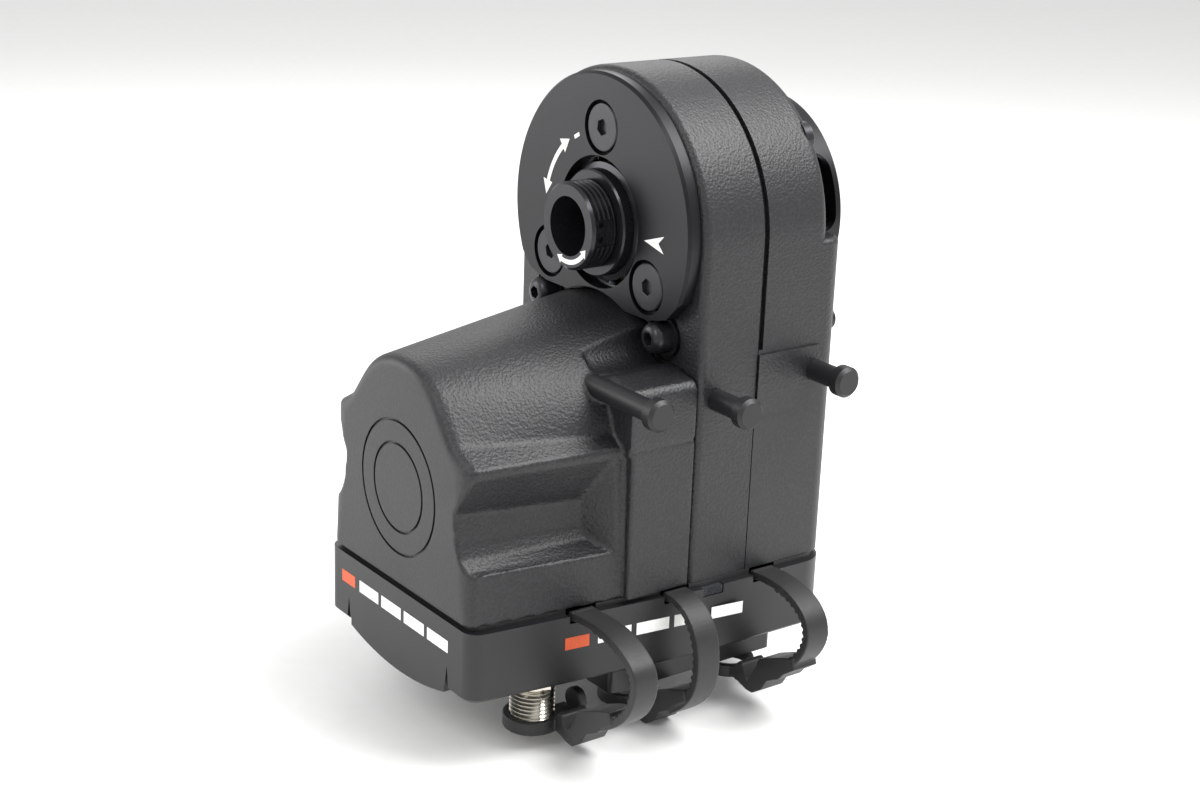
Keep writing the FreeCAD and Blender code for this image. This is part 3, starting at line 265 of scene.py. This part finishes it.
def anodised_aluminium(name, base, low, high):
    """Turned aluminium, bead-blasted or bright, then dyed black in the anodising bath."""
    made = material(name)
    tree = made.node_tree
    place = place_of(tree)
    beads = add(tree, "ShaderNodeTexNoise", {"Scale": 1 / (0.18 * MM), "Detail": 3.0},
                {"Vector": place})
    cloud = add(tree, "ShaderNodeTexNoise", {"Scale": 110.0, "Detail": 4.0}, {"Vector": place})
    bump = add(tree, "ShaderNodeBump", {"Distance": 0.004 * MM, "Strength": 0.7},
               {"Height": beads.outputs["Fac"]})
    shader = add(tree, "ShaderNodeBsdfPrincipled", {"Metallic": 0.55},
                 {"Base Color": shaded(tree, beads.outputs["Fac"], base, 0.18),
                  "Roughness": spread(tree, cloud.outputs["Fac"], low, high),
                  "Normal": bump.outputs["Normal"]})
    return finish_surface(made, shader)


def worked_metal(name, base, low, high, line, along="Z", metallic=1.0, depth=0.004 * MM):
    """Bare, plated or blackened metal with the fine lines that its tool left."""
    made = material(name)
    tree = made.node_tree
    place = place_of(tree)
    stretch = [1.0 / line if axis == along else 0.06 / line for axis in "XYZ"]
    lines = add(tree, "ShaderNodeMapping", {"Scale": stretch}, {"Vector": place})
    turned = add(tree, "ShaderNodeTexNoise", {"Scale": 1.0, "Detail": 3.0},
                 {"Vector": lines.outputs["Vector"]})
    cloud = add(tree, "ShaderNodeTexNoise", {"Scale": 260.0, "Detail": 3.0}, {"Vector": place})
    bump = add(tree, "ShaderNodeBump", {"Distance": depth, "Strength": 0.6},
               {"Height": turned.outputs["Fac"]})
    shader = add(tree, "ShaderNodeBsdfPrincipled", {"Metallic": metallic},
                 {"Base Color": shaded(tree, cloud.outputs["Fac"], base, 0.12),
                  "Roughness": spread(tree, cloud.outputs["Fac"], low, high),
                  "Normal": bump.outputs["Normal"]})
    return finish_surface(made, shader)


def moulded_rubber(name, base):
    """Soft rubber: matt, faintly bloomed in patches, with flow marks from the mould."""
    made = material(name)
    tree = made.node_tree
    place = place_of(tree)
    flow = add(tree, "ShaderNodeTexNoise", {"Scale": 420.0, "Detail": 5.0, "Distortion": 0.8},
               {"Vector": place})
    tooth = add(tree, "ShaderNodeTexNoise", {"Scale": 1 / (0.3 * MM), "Detail": 4.0},
                {"Vector": place})
    bump = add(tree, "ShaderNodeBump", {"Distance": 0.03 * MM, "Strength": 0.5},
               {"Height": tooth.outputs["Fac"]})
    shader = add(tree, "ShaderNodeBsdfPrincipled", {"IOR": 1.51, "Sheen Weight": 0.08,
                                                    "Sheen Roughness": 0.5},
                 {"Base Color": shaded(tree, flow.outputs["Fac"], base, 0.3),
                  "Roughness": spread(tree, flow.outputs["Fac"], 0.42, 0.6),
                  "Normal": bump.outputs["Normal"]})
    return finish_surface(made, shader)


def printed_ink(name, base):
    """Pad-printed ink: a flat, slightly uneven film with pinholes too fine to count."""
    made = material(name)
    tree = made.node_tree
    film = add(tree, "ShaderNodeTexNoise", {"Scale": 1 / (0.4 * MM), "Detail": 3.0},
               {"Vector": place_of(tree)})
    bump = add(tree, "ShaderNodeBump", {"Distance": 0.006 * MM, "Strength": 0.5},
               {"Height": film.outputs["Fac"]})
    shader = add(tree, "ShaderNodeBsdfPrincipled", {"IOR": 1.48},
                 {"Base Color": shaded(tree, film.outputs["Fac"], base, 0.06),
                  "Roughness": spread(tree, film.outputs["Fac"], 0.4, 0.55),
                  "Normal": bump.outputs["Normal"]})
    return finish_surface(made, shader)


def smoky_window(name):
    """Moulded smoke-grey polycarbonate over the status light."""
    made = material(name)
    tree = made.node_tree
    cloud = add(tree, "ShaderNodeTexNoise", {"Scale": 800.0, "Detail": 2.0},
                {"Vector": place_of(tree)})
    shader = add(tree, "ShaderNodeBsdfPrincipled",
                 {"IOR": 1.585, "Transmission Weight": 0.55},
                 {"Base Color": shaded(tree, cloud.outputs["Fac"], linear("4a4d50"), 0.1),
                  "Roughness": spread(tree, cloud.outputs["Fac"], 0.08, 0.16)})
    return finish_surface(made, shader)


def circuit_board(name):
    """Green solder mask over glass epoxy, with the copper tracks showing faintly."""
    made = material(name)
    tree = made.node_tree
    place = place_of(tree)
    tracks = add(tree, "ShaderNodeTexBrick",
                 {"Scale": 1.0, "Brick Width": 2.4 * MM, "Row Height": 0.8 * MM,
                  "Mortar Size": 0.12 * MM, "Color1": linear("0f4a2a"),
                  "Color2": linear("12522f"), "Mortar": linear("2c7a48")}, {"Vector": place})
    bump = add(tree, "ShaderNodeBump", {"Distance": 0.03 * MM, "Strength": 0.5},
               {"Height": tracks.outputs["Fac"]})
    shader = add(tree, "ShaderNodeBsdfPrincipled", {"Roughness": 0.35, "IOR": 1.5},
                 {"Base Color": tracks.outputs["Color"], "Normal": bump.outputs["Normal"]})
    return finish_surface(made, shader)


# ---- meshes -------------------------------------------------------------------------
def new_piece(name, mesh):
    piece = bpy.data.objects.new(name, mesh)
    bpy.context.scene.collection.objects.link(piece)
    return piece


def merged(node):
    """A CAD node's shape with its loose triangles merged at their shared corners."""
    source = frame["nodes"][node].data
    corners = [v.co[:] for v in source.vertices]
    triangles = [p.vertices[:] for p in source.polygons]
    mesh = bpy.data.meshes.new(node + "_merged")
    mesh.from_pydata(corners, [], triangles)
    work = bmesh.new()
    work.from_mesh(mesh)
    bmesh.ops.remove_doubles(work, verts=work.verts, dist=0.002 * MM)
    work.to_mesh(mesh)
    work.free()
    return mesh


def flattened(mesh, angle=0.6):
    """Joins neighbouring faces that lie in one plane."""
    work = bmesh.new()
    work.from_mesh(mesh)
    bmesh.ops.dissolve_limit(work, angle_limit=math.radians(angle), verts=work.verts,
                             edges=work.edges)
    work.to_mesh(mesh)
    work.free()


def baked(piece):
    """Turns a piece's modifiers into plain mesh."""
    graph = bpy.context.evaluated_depsgraph_get()
    graph.update()
    plain = bpy.data.meshes.new_from_object(piece.evaluated_get(graph))
    piece.modifiers.clear()
    piece.data = plain
    return piece


def smooth(mesh, angle=None):
    """Smooth shading, kept sharp at edges that turn by more than the angle."""
    mesh.polygons.foreach_set("use_smooth", [True] * len(mesh.polygons))
    if angle is not None:
        mesh.set_sharp_from_angle(angle=math.radians(angle))


def evenly_shaded(piece):
    """Smooth shading that leaves flat faces flat beside their rounded edges."""
    smooth(piece.data, 40)
    even = piece.modifiers.new("Even", "WEIGHTED_NORMAL")
    even.keep_sharp = True
    even.weight = 100
    baked(piece)


def dress(piece, finish, body, slot, *nodes):
    """Gives a piece its finish and the body it rides on, and hides the nodes it stands for."""
    piece.data.materials.clear()
    piece.data.materials.append(bpy.data.materials[finish])
    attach(piece, body)
    if nodes:
        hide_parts(*nodes)
    return piece


def rounded(node, name, width, segments=3):
    """A copy of a CAD node whose sharp edges are rounded."""
    mesh = merged(node)
    flattened(mesh)
    piece = new_piece(name, mesh)
    bevel = piece.modifiers.new("Edges", "BEVEL")
    bevel.width = width
    bevel.segments = segments
    bevel.limit_method = "ANGLE"
    bevel.angle_limit = math.radians(35)
    bevel.use_clamp_overlap = True
    baked(piece)
    evenly_shaded(piece)
    return piece


def softened(node, name, voxel, passes, fillers=(), keep=1.0):
    """A copy of a CAD node remade on a fine grid and relaxed, so its edges are soft.

    Fillers are joined in first; keep is the share of the grid's faces that stay.
    """
    mesh = merged(node)
    work = bmesh.new()
    work.from_mesh(mesh)
    for filler in fillers:
        work.from_mesh(filler)
    work.to_mesh(mesh)
    work.free()
    piece = new_piece(name, mesh)
    grid = piece.modifiers.new("Grid", "REMESH")
    grid.mode = "VOXEL"
    grid.voxel_size = voxel
    relax = piece.modifiers.new("Relax", "SMOOTH")
    relax.factor = 0.5
    relax.iterations = passes
    if keep < 1:
        thin = piece.modifiers.new("Thin", "DECIMATE")
        thin.ratio = keep
    baked(piece)
    smooth(piece.data)
    return piece


def islands(node):
    """Lowest and highest corner of each loose part of a CAD node."""
    work = bmesh.new()
    work.from_mesh(merged(node))
    found, waiting = [], set(work.verts)
    while waiting:
        first = waiting.pop()
        group, edge = [first], [first]
        while edge:
            for link in edge.pop().link_edges:
                for vertex in link.verts:
                    if vertex in waiting:
                        waiting.discard(vertex)
                        group.append(vertex)
                        edge.append(vertex)
        low = Vector([min(v.co[k] for v in group) for k in range(3)])
        high = Vector([max(v.co[k] for v in group) for k in range(3)])
        found.append((low, high))
    work.free()
    return sorted(found, key=lambda pair: (round(pair[0].x, 5), round(pair[0].z, 5)))


def lathe(profile, sides):
    """Solid of revolution about Y, from (radius, y) points; a zero radius closes it."""
    work = bmesh.new()
    rings = []
    for radius, y in profile:
        if radius < 1e-9:
            rings.append([work.verts.new((0, y, 0))])
            continue
        turn = [2 * math.pi * k / sides for k in range(sides)]
        rings.append([work.verts.new((radius * math.cos(a), y, radius * math.sin(a)))
                      for a in turn])
    for one, two in zip(rings, rings[1:]):
        for k in range(sides):
            n = (k + 1) % sides
            corner = [one[k % len(one)], one[n % len(one)], two[n % len(two)], two[k % len(two)]]
            corner = [v for i, v in enumerate(corner) if v not in corner[:i]]
            work.faces.new(corner)
    bmesh.ops.recalc_face_normals(work, faces=work.faces)
    mesh = bpy.data.meshes.new("Turned")
    work.to_mesh(mesh)
    work.free()
    return mesh


# ---- the tower and the base ---------------------------------------------------------
class FOCUSER_OT_finishes(bpy.types.Operator):
    """Make every finish and give each node of the frame its own"""
    bl_idname = "focuser.finishes"
    bl_label = "Finishes"

    def execute(self, context):
        look = context.scene.focuser_finish
        grain, depth = look.grain, look.grain_depth
        shoulder_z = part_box("rear_shell_peg")[0].z
        made = {
            "textured_shell": grained_abs("Grained ABS", look.shell, grain, depth),
            "rear_shell": grained_abs("Grained and satin ABS", look.shell, grain, depth,
                                      "Z", shoulder_z),
            "base_shell": satin_plastic("Satin ABS", look.base, 0.36, 0.46),
            "peg_black": satin_plastic("Blasted nylon", look.base, 0.42, 0.55),
            "socket_black": satin_plastic("Connector nylon", linear("101011"), 0.3, 0.4),
            "black_anodised": anodised_aluminium("Anodised aluminium", look.anodised, 0.30, 0.40),
            "bright_anodised": anodised_aluminium("Bright anodised aluminium", linear("2c2c30"),
                                                  0.14, 0.26),
            "black_steel": worked_metal("Black oxide steel", look.screw, 0.26, 0.42, 0.15 * MM,
                                        "Y", 0.7),
            "bearing_steel": worked_metal("Ground steel", linear("b9bcc0"), 0.12, 0.2, 0.1 * MM),
            "motor_steel": worked_metal("Zinc-plated steel", linear("8f9398"), 0.25, 0.4,
                                        0.3 * MM, "Y"),
            "gear_brass": worked_metal("Hobbed brass", linear("c29a4e"), 0.2, 0.35, 0.12 * MM,
                                       "Y"),
            "nickel": worked_metal("Nickel plate", look.nickel, 0.14, 0.26, 0.08 * MM),
            "contact_gold": worked_metal("Gold flash", linear("d8b25a"), 0.15, 0.25, 0.1 * MM),
            "can_aluminium": worked_metal("Drawn aluminium", linear("bfc2c5"), 0.2, 0.35,
                                          0.2 * MM),
            "magnet": worked_metal("Sintered magnet", linear("4a4b4e"), 0.3, 0.5, 0.2 * MM),
            "chip_black": satin_plastic("Moulded epoxy", linear("141415"), 0.5, 0.65),
            "board_green": circuit_board("Solder mask"),
            "tie_rubber": moulded_rubber("Moulded rubber", look.rubber),
            "seal_rubber": moulded_rubber("Seal rubber", linear("0e0e0f")),
            "light_window": smoky_window("Smoked polycarbonate"),
        }
        grained_abs("Grained ABS with a satin face", look.shell, grain, depth, "Y",
                    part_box("motor_housing")[0].y + 0.5 * MM, 0.3 * MM)
        printed_ink("White ink", look.mark)
        printed_ink("Orange ink", look.accent)
        special = {"gearbox_rear_shell": "rear_shell", "drive_hub": "bright_anodised"}
        for part in frame["record"]["subparts"]:
            node = part["node"]
            chosen = made[special.get(node, part["material_slot"])]
            mesh = frame["nodes"][node].data
            mesh.materials.clear()
            mesh.materials.append(chosen)
        return {"FINISHED"}


class FOCUSER_OT_housing(bpy.types.Operator):
    """Soften the motor housing and cut its two plain rings"""
    bl_idname = "focuser.housing"
    bl_label = "Motor housing"

    def execute(self, context):
        shape = context.scene.focuser_shape
        low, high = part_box("motor_housing")
        centre = Vector((0, low.y, -41.5 * MM))
        disc = lathe([(0, 0.02 * MM), (12.6 * MM, 0.02 * MM), (12.6 * MM, 1.2 * MM),
                      (0, 1.2 * MM)], 96)
        disc.transform(Matrix.Translation(centre))
        peg_low, peg_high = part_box("housing_peg")
        middle = (peg_low + peg_high) / 2
        plug = lathe([(0, 0), (1.75 * MM, 0), (1.75 * MM, 10 * MM), (0, 10 * MM)], 32)
        plug.transform(Matrix.Translation((high.x - 12.5 * MM, middle.y, middle.z))
                       @ Matrix.Rotation(-math.pi / 2, 4, "Z"))
        piece = softened("motor_housing", "motor_housing_skin", shape.housing_voxel, 2,
                         (disc, plug), 0.75)
        for outer, inner in ((12.1, 11.6), (8.1, 7.6)):
            profile = [(inner * MM, -MM), (outer * MM, -MM), (outer * MM, 0.45 * MM),
                       (inner * MM, 0.45 * MM), (inner * MM, -MM)]
            cutter = new_piece("ring_cutter", lathe(profile, 128))
            cutter.data.transform(Matrix.Translation(centre))
            cut = piece.modifiers.new("Ring", "BOOLEAN")
            cut.operation = "DIFFERENCE"
            cut.solver = "EXACT"
            cut.object = cutter
            baked(piece)
            bpy.data.objects.remove(cutter)
        smooth(piece.data, 50)
        dress(piece, "Grained ABS with a satin face", "housing", "textured_shell",
              "motor_housing")
        return {"FINISHED"}


class FOCUSER_OT_shells(bpy.types.Operator):
    """Round the edges of the two tower shells and the base cover"""
    bl_idname = "focuser.shells"
    bl_label = "Tower shells and base"

    def execute(self, context):
        shape = context.scene.focuser_shape
        for node, finish, slot, width in (
                ("gearbox_front_shell", "Grained ABS", "textured_shell", shape.shell_edge),
                ("gearbox_rear_shell", "Grained and satin ABS", "textured_shell",
                 shape.shell_edge),
                ("base_cover", "Satin ABS", "base_shell", shape.base_edge)):
            piece = rounded(node, node + "_skin", width)
            dress(piece, finish, "housing", slot, node)
        return {"FINISHED"}


class FOCUSER_OT_ties(bpy.types.Operator):
    """Soften the three rubber ties, teeth and clasps"""
    bl_idname = "focuser.ties"
    bl_label = "Rubber ties"

    def execute(self, context):
        voxel = context.scene.focuser_shape.tie_voxel
        for node, body in (("cable_tie_1", "housing"), ("cable_tie_2", "middle_tie"),
                           ("cable_tie_3", "rear_tie")):
            piece = softened(node, node + "_skin", voxel, 3)
            dress(piece, "Moulded rubber", body, "tie_rubber", node)
        return {"FINISHED"}


# ---- screws -------------------------------------------------------------------------
def screw_tree():
    """Stands one screw on each point, each turned a little differently."""
    tree = bpy.data.node_groups.new("Screws on points", "GeometryNodeTree")
    face = tree.interface
    face.new_socket("Geometry", in_out="INPUT", socket_type="NodeSocketGeometry")
    face.new_socket("Screw", in_out="INPUT", socket_type="NodeSocketObject")
    face.new_socket("Turn", in_out="INPUT", socket_type="NodeSocketFloat")
    face.new_socket("Finish", in_out="INPUT", socket_type="NodeSocketMaterial")
    face.new_socket("Geometry", in_out="OUTPUT", socket_type="NodeSocketGeometry")
    given = add(tree, "NodeGroupInput").outputs
    screw = add(tree, "GeometryNodeObjectInfo", links={"Object": given["Screw"]})
    turn = add(tree, "FunctionNodeRandomValue", {"Seed": 4},
               {"Max": given["Turn"]}, data_type="FLOAT")
    angle = add(tree, "ShaderNodeCombineXYZ", links={"Y": turn.outputs[1]})
    placed = add(tree, "GeometryNodeInstanceOnPoints",
                 links={"Points": given["Geometry"], "Instance": screw.outputs["Geometry"],
                        "Rotation": angle.outputs[0]})
    whole = add(tree, "GeometryNodeRealizeInstances",
                links={"Geometry": placed.outputs["Instances"]})
    done = add(tree, "GeometryNodeSetMaterial",
               links={"Geometry": whole.outputs["Geometry"], "Material": given["Finish"]})
    add(tree, "NodeGroupOutput", links={"Geometry": done.outputs["Geometry"]})
    return tree


def socket_head(radius, height, key, crown):
    """A screw head facing -Y with a hexagon socket; crown is how far its rim is rounded."""
    steps = [(math.sin(math.radians(15 * k)), 1 - math.cos(math.radians(15 * k)))
             for k in range(7)]
    rim = [(radius - crown + crown * s, crown * c) for s, c in steps]
    mesh = lathe([(0, 0)] + rim + [(radius, height), (0, height)], 48)
    head = new_piece("screw_head", mesh)
    work = bmesh.new()
    reach = key / math.sqrt(3)
    bmesh.ops.create_cone(work, cap_ends=True, segments=6, radius1=reach, radius2=reach,
                          depth=height, matrix=Matrix.Rotation(math.pi / 2, 4, "X"))
    tool = bpy.data.meshes.new("key")
    work.to_mesh(tool)
    work.free()
    key_piece = new_piece("screw_key", tool)
    key_piece.data.transform(Matrix.Translation((0, 0.05 * height, 0)))
    cut = head.modifiers.new("Socket", "BOOLEAN")
    cut.operation = "DIFFERENCE"
    cut.solver = "EXACT"
    cut.object = key_piece
    edge = head.modifiers.new("Edge", "BEVEL")
    edge.width = 0.08 * MM
    edge.segments = 2
    edge.limit_method = "ANGLE"
    edge.angle_limit = math.radians(50)
    baked(head)
    bpy.data.objects.remove(key_piece)
    evenly_shaded(head)
    return head


class FOCUSER_OT_screws(bpy.types.Operator):
    """Put rounded socket heads on the plate's and the front shell's screws"""
    bl_idname = "focuser.screws"
    bl_label = "Screws"

    def execute(self, context):
        tree = screw_tree()
        turn = context.scene.focuser_shape.screw_turn
        for node, key, crown in (("plate_screws", 2.6 * MM, 0.35 * MM),
                                 ("shell_cap_screws", 2.1 * MM, 1.5 * MM)):
            found = islands(node)
            radius = (found[0][1].x - found[0][0].x) / 2
            top = found[0][0].y
            height = {"plate_screws": 1.5 * MM, "shell_cap_screws": 3.7 * MM}[node]
            head = socket_head(radius, height, key, crown)
            points = [((a.x + b.x) / 2, top, (a.z + b.z) / 2) for a, b in found]
            mesh = bpy.data.meshes.new(node + "_spots")
            mesh.from_pydata(points, [], [])
            piece = new_piece(node + "_heads", mesh)
            nodes = piece.modifiers.new("Screws", "NODES")
            nodes.node_group = tree
            finish = bpy.data.materials["Black oxide steel"]
            for item in tree.interface.items_tree:
                if item.in_out == "INPUT" and item.name in ("Screw", "Turn", "Finish"):
                    nodes[item.identifier] = {"Screw": head, "Turn": turn,
                                              "Finish": finish}[item.name]
            baked(piece)
            bpy.data.objects.remove(head)
            dress(piece, "Black oxide steel", "housing", "black_steel", node)
        return {"FINISHED"}


# ---- printed marks ------------------------------------------------------------------
def printed(name, outlines, normal, up, spot, thickness, ink, body, slot):
    """Flat outlines, in millimetres across and up, lifted into a thin film of ink."""
    work = bmesh.new()
    for outline in outlines:
        low = [work.verts.new((u * MM, v * MM, 0)) for u, v in outline]
        top = [work.verts.new((u * MM, v * MM, thickness)) for u, v in outline]
        work.faces.new(low)
        work.faces.new(top)
        for k in range(len(outline)):
            work.faces.new((low[k - 1], low[k], top[k], top[k - 1]))
    bmesh.ops.recalc_face_normals(work, faces=work.faces)
    bmesh.ops.triangulate(work, faces=[f for f in work.faces if len(f.verts) > 4])
    mesh = bpy.data.meshes.new(name)
    work.to_mesh(mesh)
    work.free()
    out = Vector(normal).normalized()
    lift = Vector(up).normalized()
    across = lift.cross(out)
    turn = Matrix((across, lift, out)).transposed().to_4x4()
    mesh.transform(Matrix.Translation(Vector(spot) * MM) @ turn)
    piece = new_piece(name, mesh)
    return dress(piece, ink, body, slot)


def arc_band(centre, radius, width, start, stop, steps=16):
    """A bent strip, from start to stop in degrees, about a centre."""
    angles = [math.radians(start + (stop - start) * k / steps) for k in range(steps + 1)]
    outer = [(centre[0] + (radius + width / 2) * math.cos(a),
              centre[1] + (radius + width / 2) * math.sin(a)) for a in angles]
    inner = [(centre[0] + (radius - width / 2) * math.cos(a),
              centre[1] + (radius - width / 2) * math.sin(a)) for a in reversed(angles)]
    return outer + inner


def on_circle(radius, degrees):
    return (radius * math.cos(math.radians(degrees)), radius * math.sin(math.radians(degrees)))


def arrow_head(tip, heading, length, half):
    """A triangle that points along heading, in degrees."""
    a = math.radians(heading)
    along, side = (math.cos(a), math.sin(a)), (-math.sin(a), math.cos(a))
    tail = (tip[0] - along[0] * length, tip[1] - along[1] * length)
    return [tip, (tail[0] + side[0] * half, tail[1] + side[1] * half),
            (tail[0] - side[0] * half, tail[1] - side[1] * half)]


def dashes(count, length, height):
    """A row of plain upright dashes along a strip of the given length."""
    pitch = length / count
    width, rise = 0.86 * pitch, height / 2
    row = []
    for k in range(count):
        x = -length / 2 + k * pitch
        row.append([(x, -rise), (x + width, -rise), (x + width, rise), (x, rise)])
    return row


class FOCUSER_OT_marks(bpy.types.Operator):
    """Print the turning arrows, and a plain dashed stripe on the base"""
    bl_idname = "focuser.marks"
    bl_label = "Printed marks"

    def execute(self, context):
        ink = context.scene.focuser_shape.ink
        face_y = PLATE_LOW.y / MM
        hub_y = HUB_LOW.y / MM
        front = (0, -1, 0)
        sweep = arc_band((0, 0), PLATE_MARK_R, 0.9, 134.5, 163.5)
        ends = [arrow_head(on_circle(PLATE_MARK_R, 125), 37, 2.6, 1.35),
                arrow_head(on_circle(PLATE_MARK_R, 173), -99, 2.6, 1.35)]
        dash = [(-7.8, 13.9), (-6.4, 14.7), (-6.1, 14.1), (-7.5, 13.3)]
        pointer = [(13.4, -0.3), (18.8, 1.5), (17.3, 0.0), (18.8, -1.5)]
        printed("plate_marks", [sweep] + ends + [dash, pointer], front, (0, 0, 1),
                (0, face_y, 0), ink, "White ink", "housing", "black_anodised")
        hub_arc = arc_band((0, 0), HUB_MARK_R, 0.85, 256, 318)
        hub_ends = [arrow_head(on_circle(HUB_MARK_R, 243), 160, 1.4, 0.9),
                    arrow_head(on_circle(HUB_MARK_R, 331), 54, 1.4, 0.9)]
        printed("hub_marks", [hub_arc] + hub_ends, front, (0, 0, 1), (0, hub_y, 0), ink,
                "White ink", "drive", "black_anodised")
        side = math.atan2(BASE_HALVES[1] - BASE_HALVES[0], BASE_TAPER_END_Y - BASE_LOW.y / MM)
        stripe = dashes(STRIPE_DASHES, STRIPE_LENGTH, STRIPE_HEIGHT)
        accent = dashes(1, ACCENT_LENGTH, STRIPE_HEIGHT)
        for name, shapes, x, finish in (("base_front_dashes", stripe, 2.6, "White ink"),
                                        ("base_front_accent", accent, -16.2, "Orange ink")):
            printed(name, shapes, front, (0, 0, 1), (x, BASE_LOW.y / MM, FRONT_STRIPE_Z), ink,
                    finish, "housing", "base_shell")
        side_out = (math.cos(side), -math.sin(side), 0)
        for name, shapes, y, finish in (("base_side_dashes", stripe, -1.0, "White ink"),
                                        ("base_side_accent", accent, -19.8, "Orange ink")):
            x = BASE_HALVES[1] - (BASE_TAPER_END_Y - y) * math.tan(side)
            printed(name, shapes, side_out, (0, 0, 1), (x, y, SIDE_STRIPE_Z), ink, finish,
                    "housing", "base_shell")
        return {"FINISHED"}


# ---- stage --------------------------------------------------------------------------
def area_light(name, spot, target, width, height, watts):
    data = bpy.data.lights.new(name, "AREA")
    data.shape = "RECTANGLE"
    data.size = width
    data.size_y = height
    data.energy = watts
    lamp = new_piece(name, data)
    lamp.location = spot
    lamp.rotation_euler = (Vector(target) - Vector(spot)).to_track_quat("-Z", "Y").to_euler()
    return lamp


class FOCUSER_OT_stage(bpy.types.Operator):
    """Stand the camera, a pale floor and the soft lights"""
    bl_idname = "focuser.stage"
    bl_label = "Stage"

    def execute(self, context):
        stage = context.scene.focuser_stage
        data = bpy.data.cameras.new("Camera")
        data.lens = stage.lens
        data.sensor_width = 36.0
        data.clip_start = 0.01
        camera = new_piece("Camera", data)
        turn = Matrix.Rotation(stage.azimuth, 4, "Z")
        tilt = Matrix.Rotation(math.pi / 2 - stage.elevation, 4, "X")
        lean = Matrix.Rotation(stage.roll, 4, "Z")
        camera.matrix_world = Matrix.Translation(stage.camera_spot) @ turn @ tilt @ lean
        context.scene.camera = camera
        floor = bpy.data.meshes.new("Floor")
        reach, down = 4.0, CAD_BOX[0][2]
        floor.from_pydata([(-reach, -reach, down), (reach, -reach, down), (reach, reach, down),
                           (-reach, reach, down)], [], [(0, 1, 2, 3)])
        piece = new_piece("Floor", floor)
        paper = material("Pale paper")
        tree = paper.node_tree
        fibre = add(tree, "ShaderNodeTexNoise", {"Scale": 300.0, "Detail": 2.0},
                    {"Vector": place_of(tree)})
        shader = add(tree, "ShaderNodeBsdfPrincipled", {"Roughness": 0.9},
                     {"Base Color": shaded(tree, fibre.outputs["Fac"], stage.floor, 0.01)})
        floor.materials.append(finish_surface(paper, shader))
        world = bpy.data.worlds.new("White room")
        world.use_nodes = True
        room = world.node_tree
        room.nodes["Background"].inputs["Color"].default_value = (1, 1, 1, 1)
        seen = room.nodes.new("ShaderNodeLightPath")
        strength = room.nodes.new("ShaderNodeMapRange")
        strength.inputs["To Min"].default_value = stage.sky
        strength.inputs["To Max"].default_value = stage.backdrop
        room.links.new(seen.outputs["Is Camera Ray"], strength.inputs["Value"])
        room.links.new(strength.outputs["Result"], room.nodes["Background"].inputs["Strength"])
        context.scene.world = world
        context.scene.view_settings.view_transform = "Standard"
        for name, setting, spot, width, height in LIGHTS:
            area_light(name, spot, LIGHT_TARGET, width, height, getattr(stage, setting))
        return {"FINISHED"}


# ---- panel and registration ---------------------------------------------------------
OPERATORS = (FOCUSER_OT_stage, FOCUSER_OT_finishes, FOCUSER_OT_housing, FOCUSER_OT_shells,
             FOCUSER_OT_ties, FOCUSER_OT_screws, FOCUSER_OT_marks)
GROUPS = {"focuser_finish": FinishSettings, "focuser_shape": ShapeSettings,
          "focuser_stage": StageSettings}


class FOCUSER_PT_looks(bpy.types.Panel):
    """Lists the steps and the values that they use"""
    bl_label = "Focuser drive"
    bl_idname = "FOCUSER_PT_looks"
    bl_space_type = "VIEW_3D"
    bl_region_type = "UI"
    bl_category = "Focuser"

    def draw(self, context):
        column = self.layout.column()
        for step in OPERATORS:
            column.operator(step.bl_idname)
        for name, group in GROUPS.items():
            values = getattr(context.scene, name)
            for value in group.__annotations__:
                column.prop(values, value)


def register():
    for kind in (*GROUPS.values(), *OPERATORS, FOCUSER_PT_looks):
        bpy.utils.register_class(kind)
    for name, group in GROUPS.items():
        setattr(bpy.types.Scene, name, bpy.props.PointerProperty(type=group))


def unregister():
    for name in GROUPS:
        delattr(bpy.types.Scene, name)
    for kind in (*GROUPS.values(), *OPERATORS, FOCUSER_PT_looks):
        bpy.utils.unregister_class(kind)


def main():
    register()
    for step in OPERATORS:
        getattr(bpy.ops.focuser, step.bl_idname.split(".")[1])()


if __name__ == "__main__":
    main()
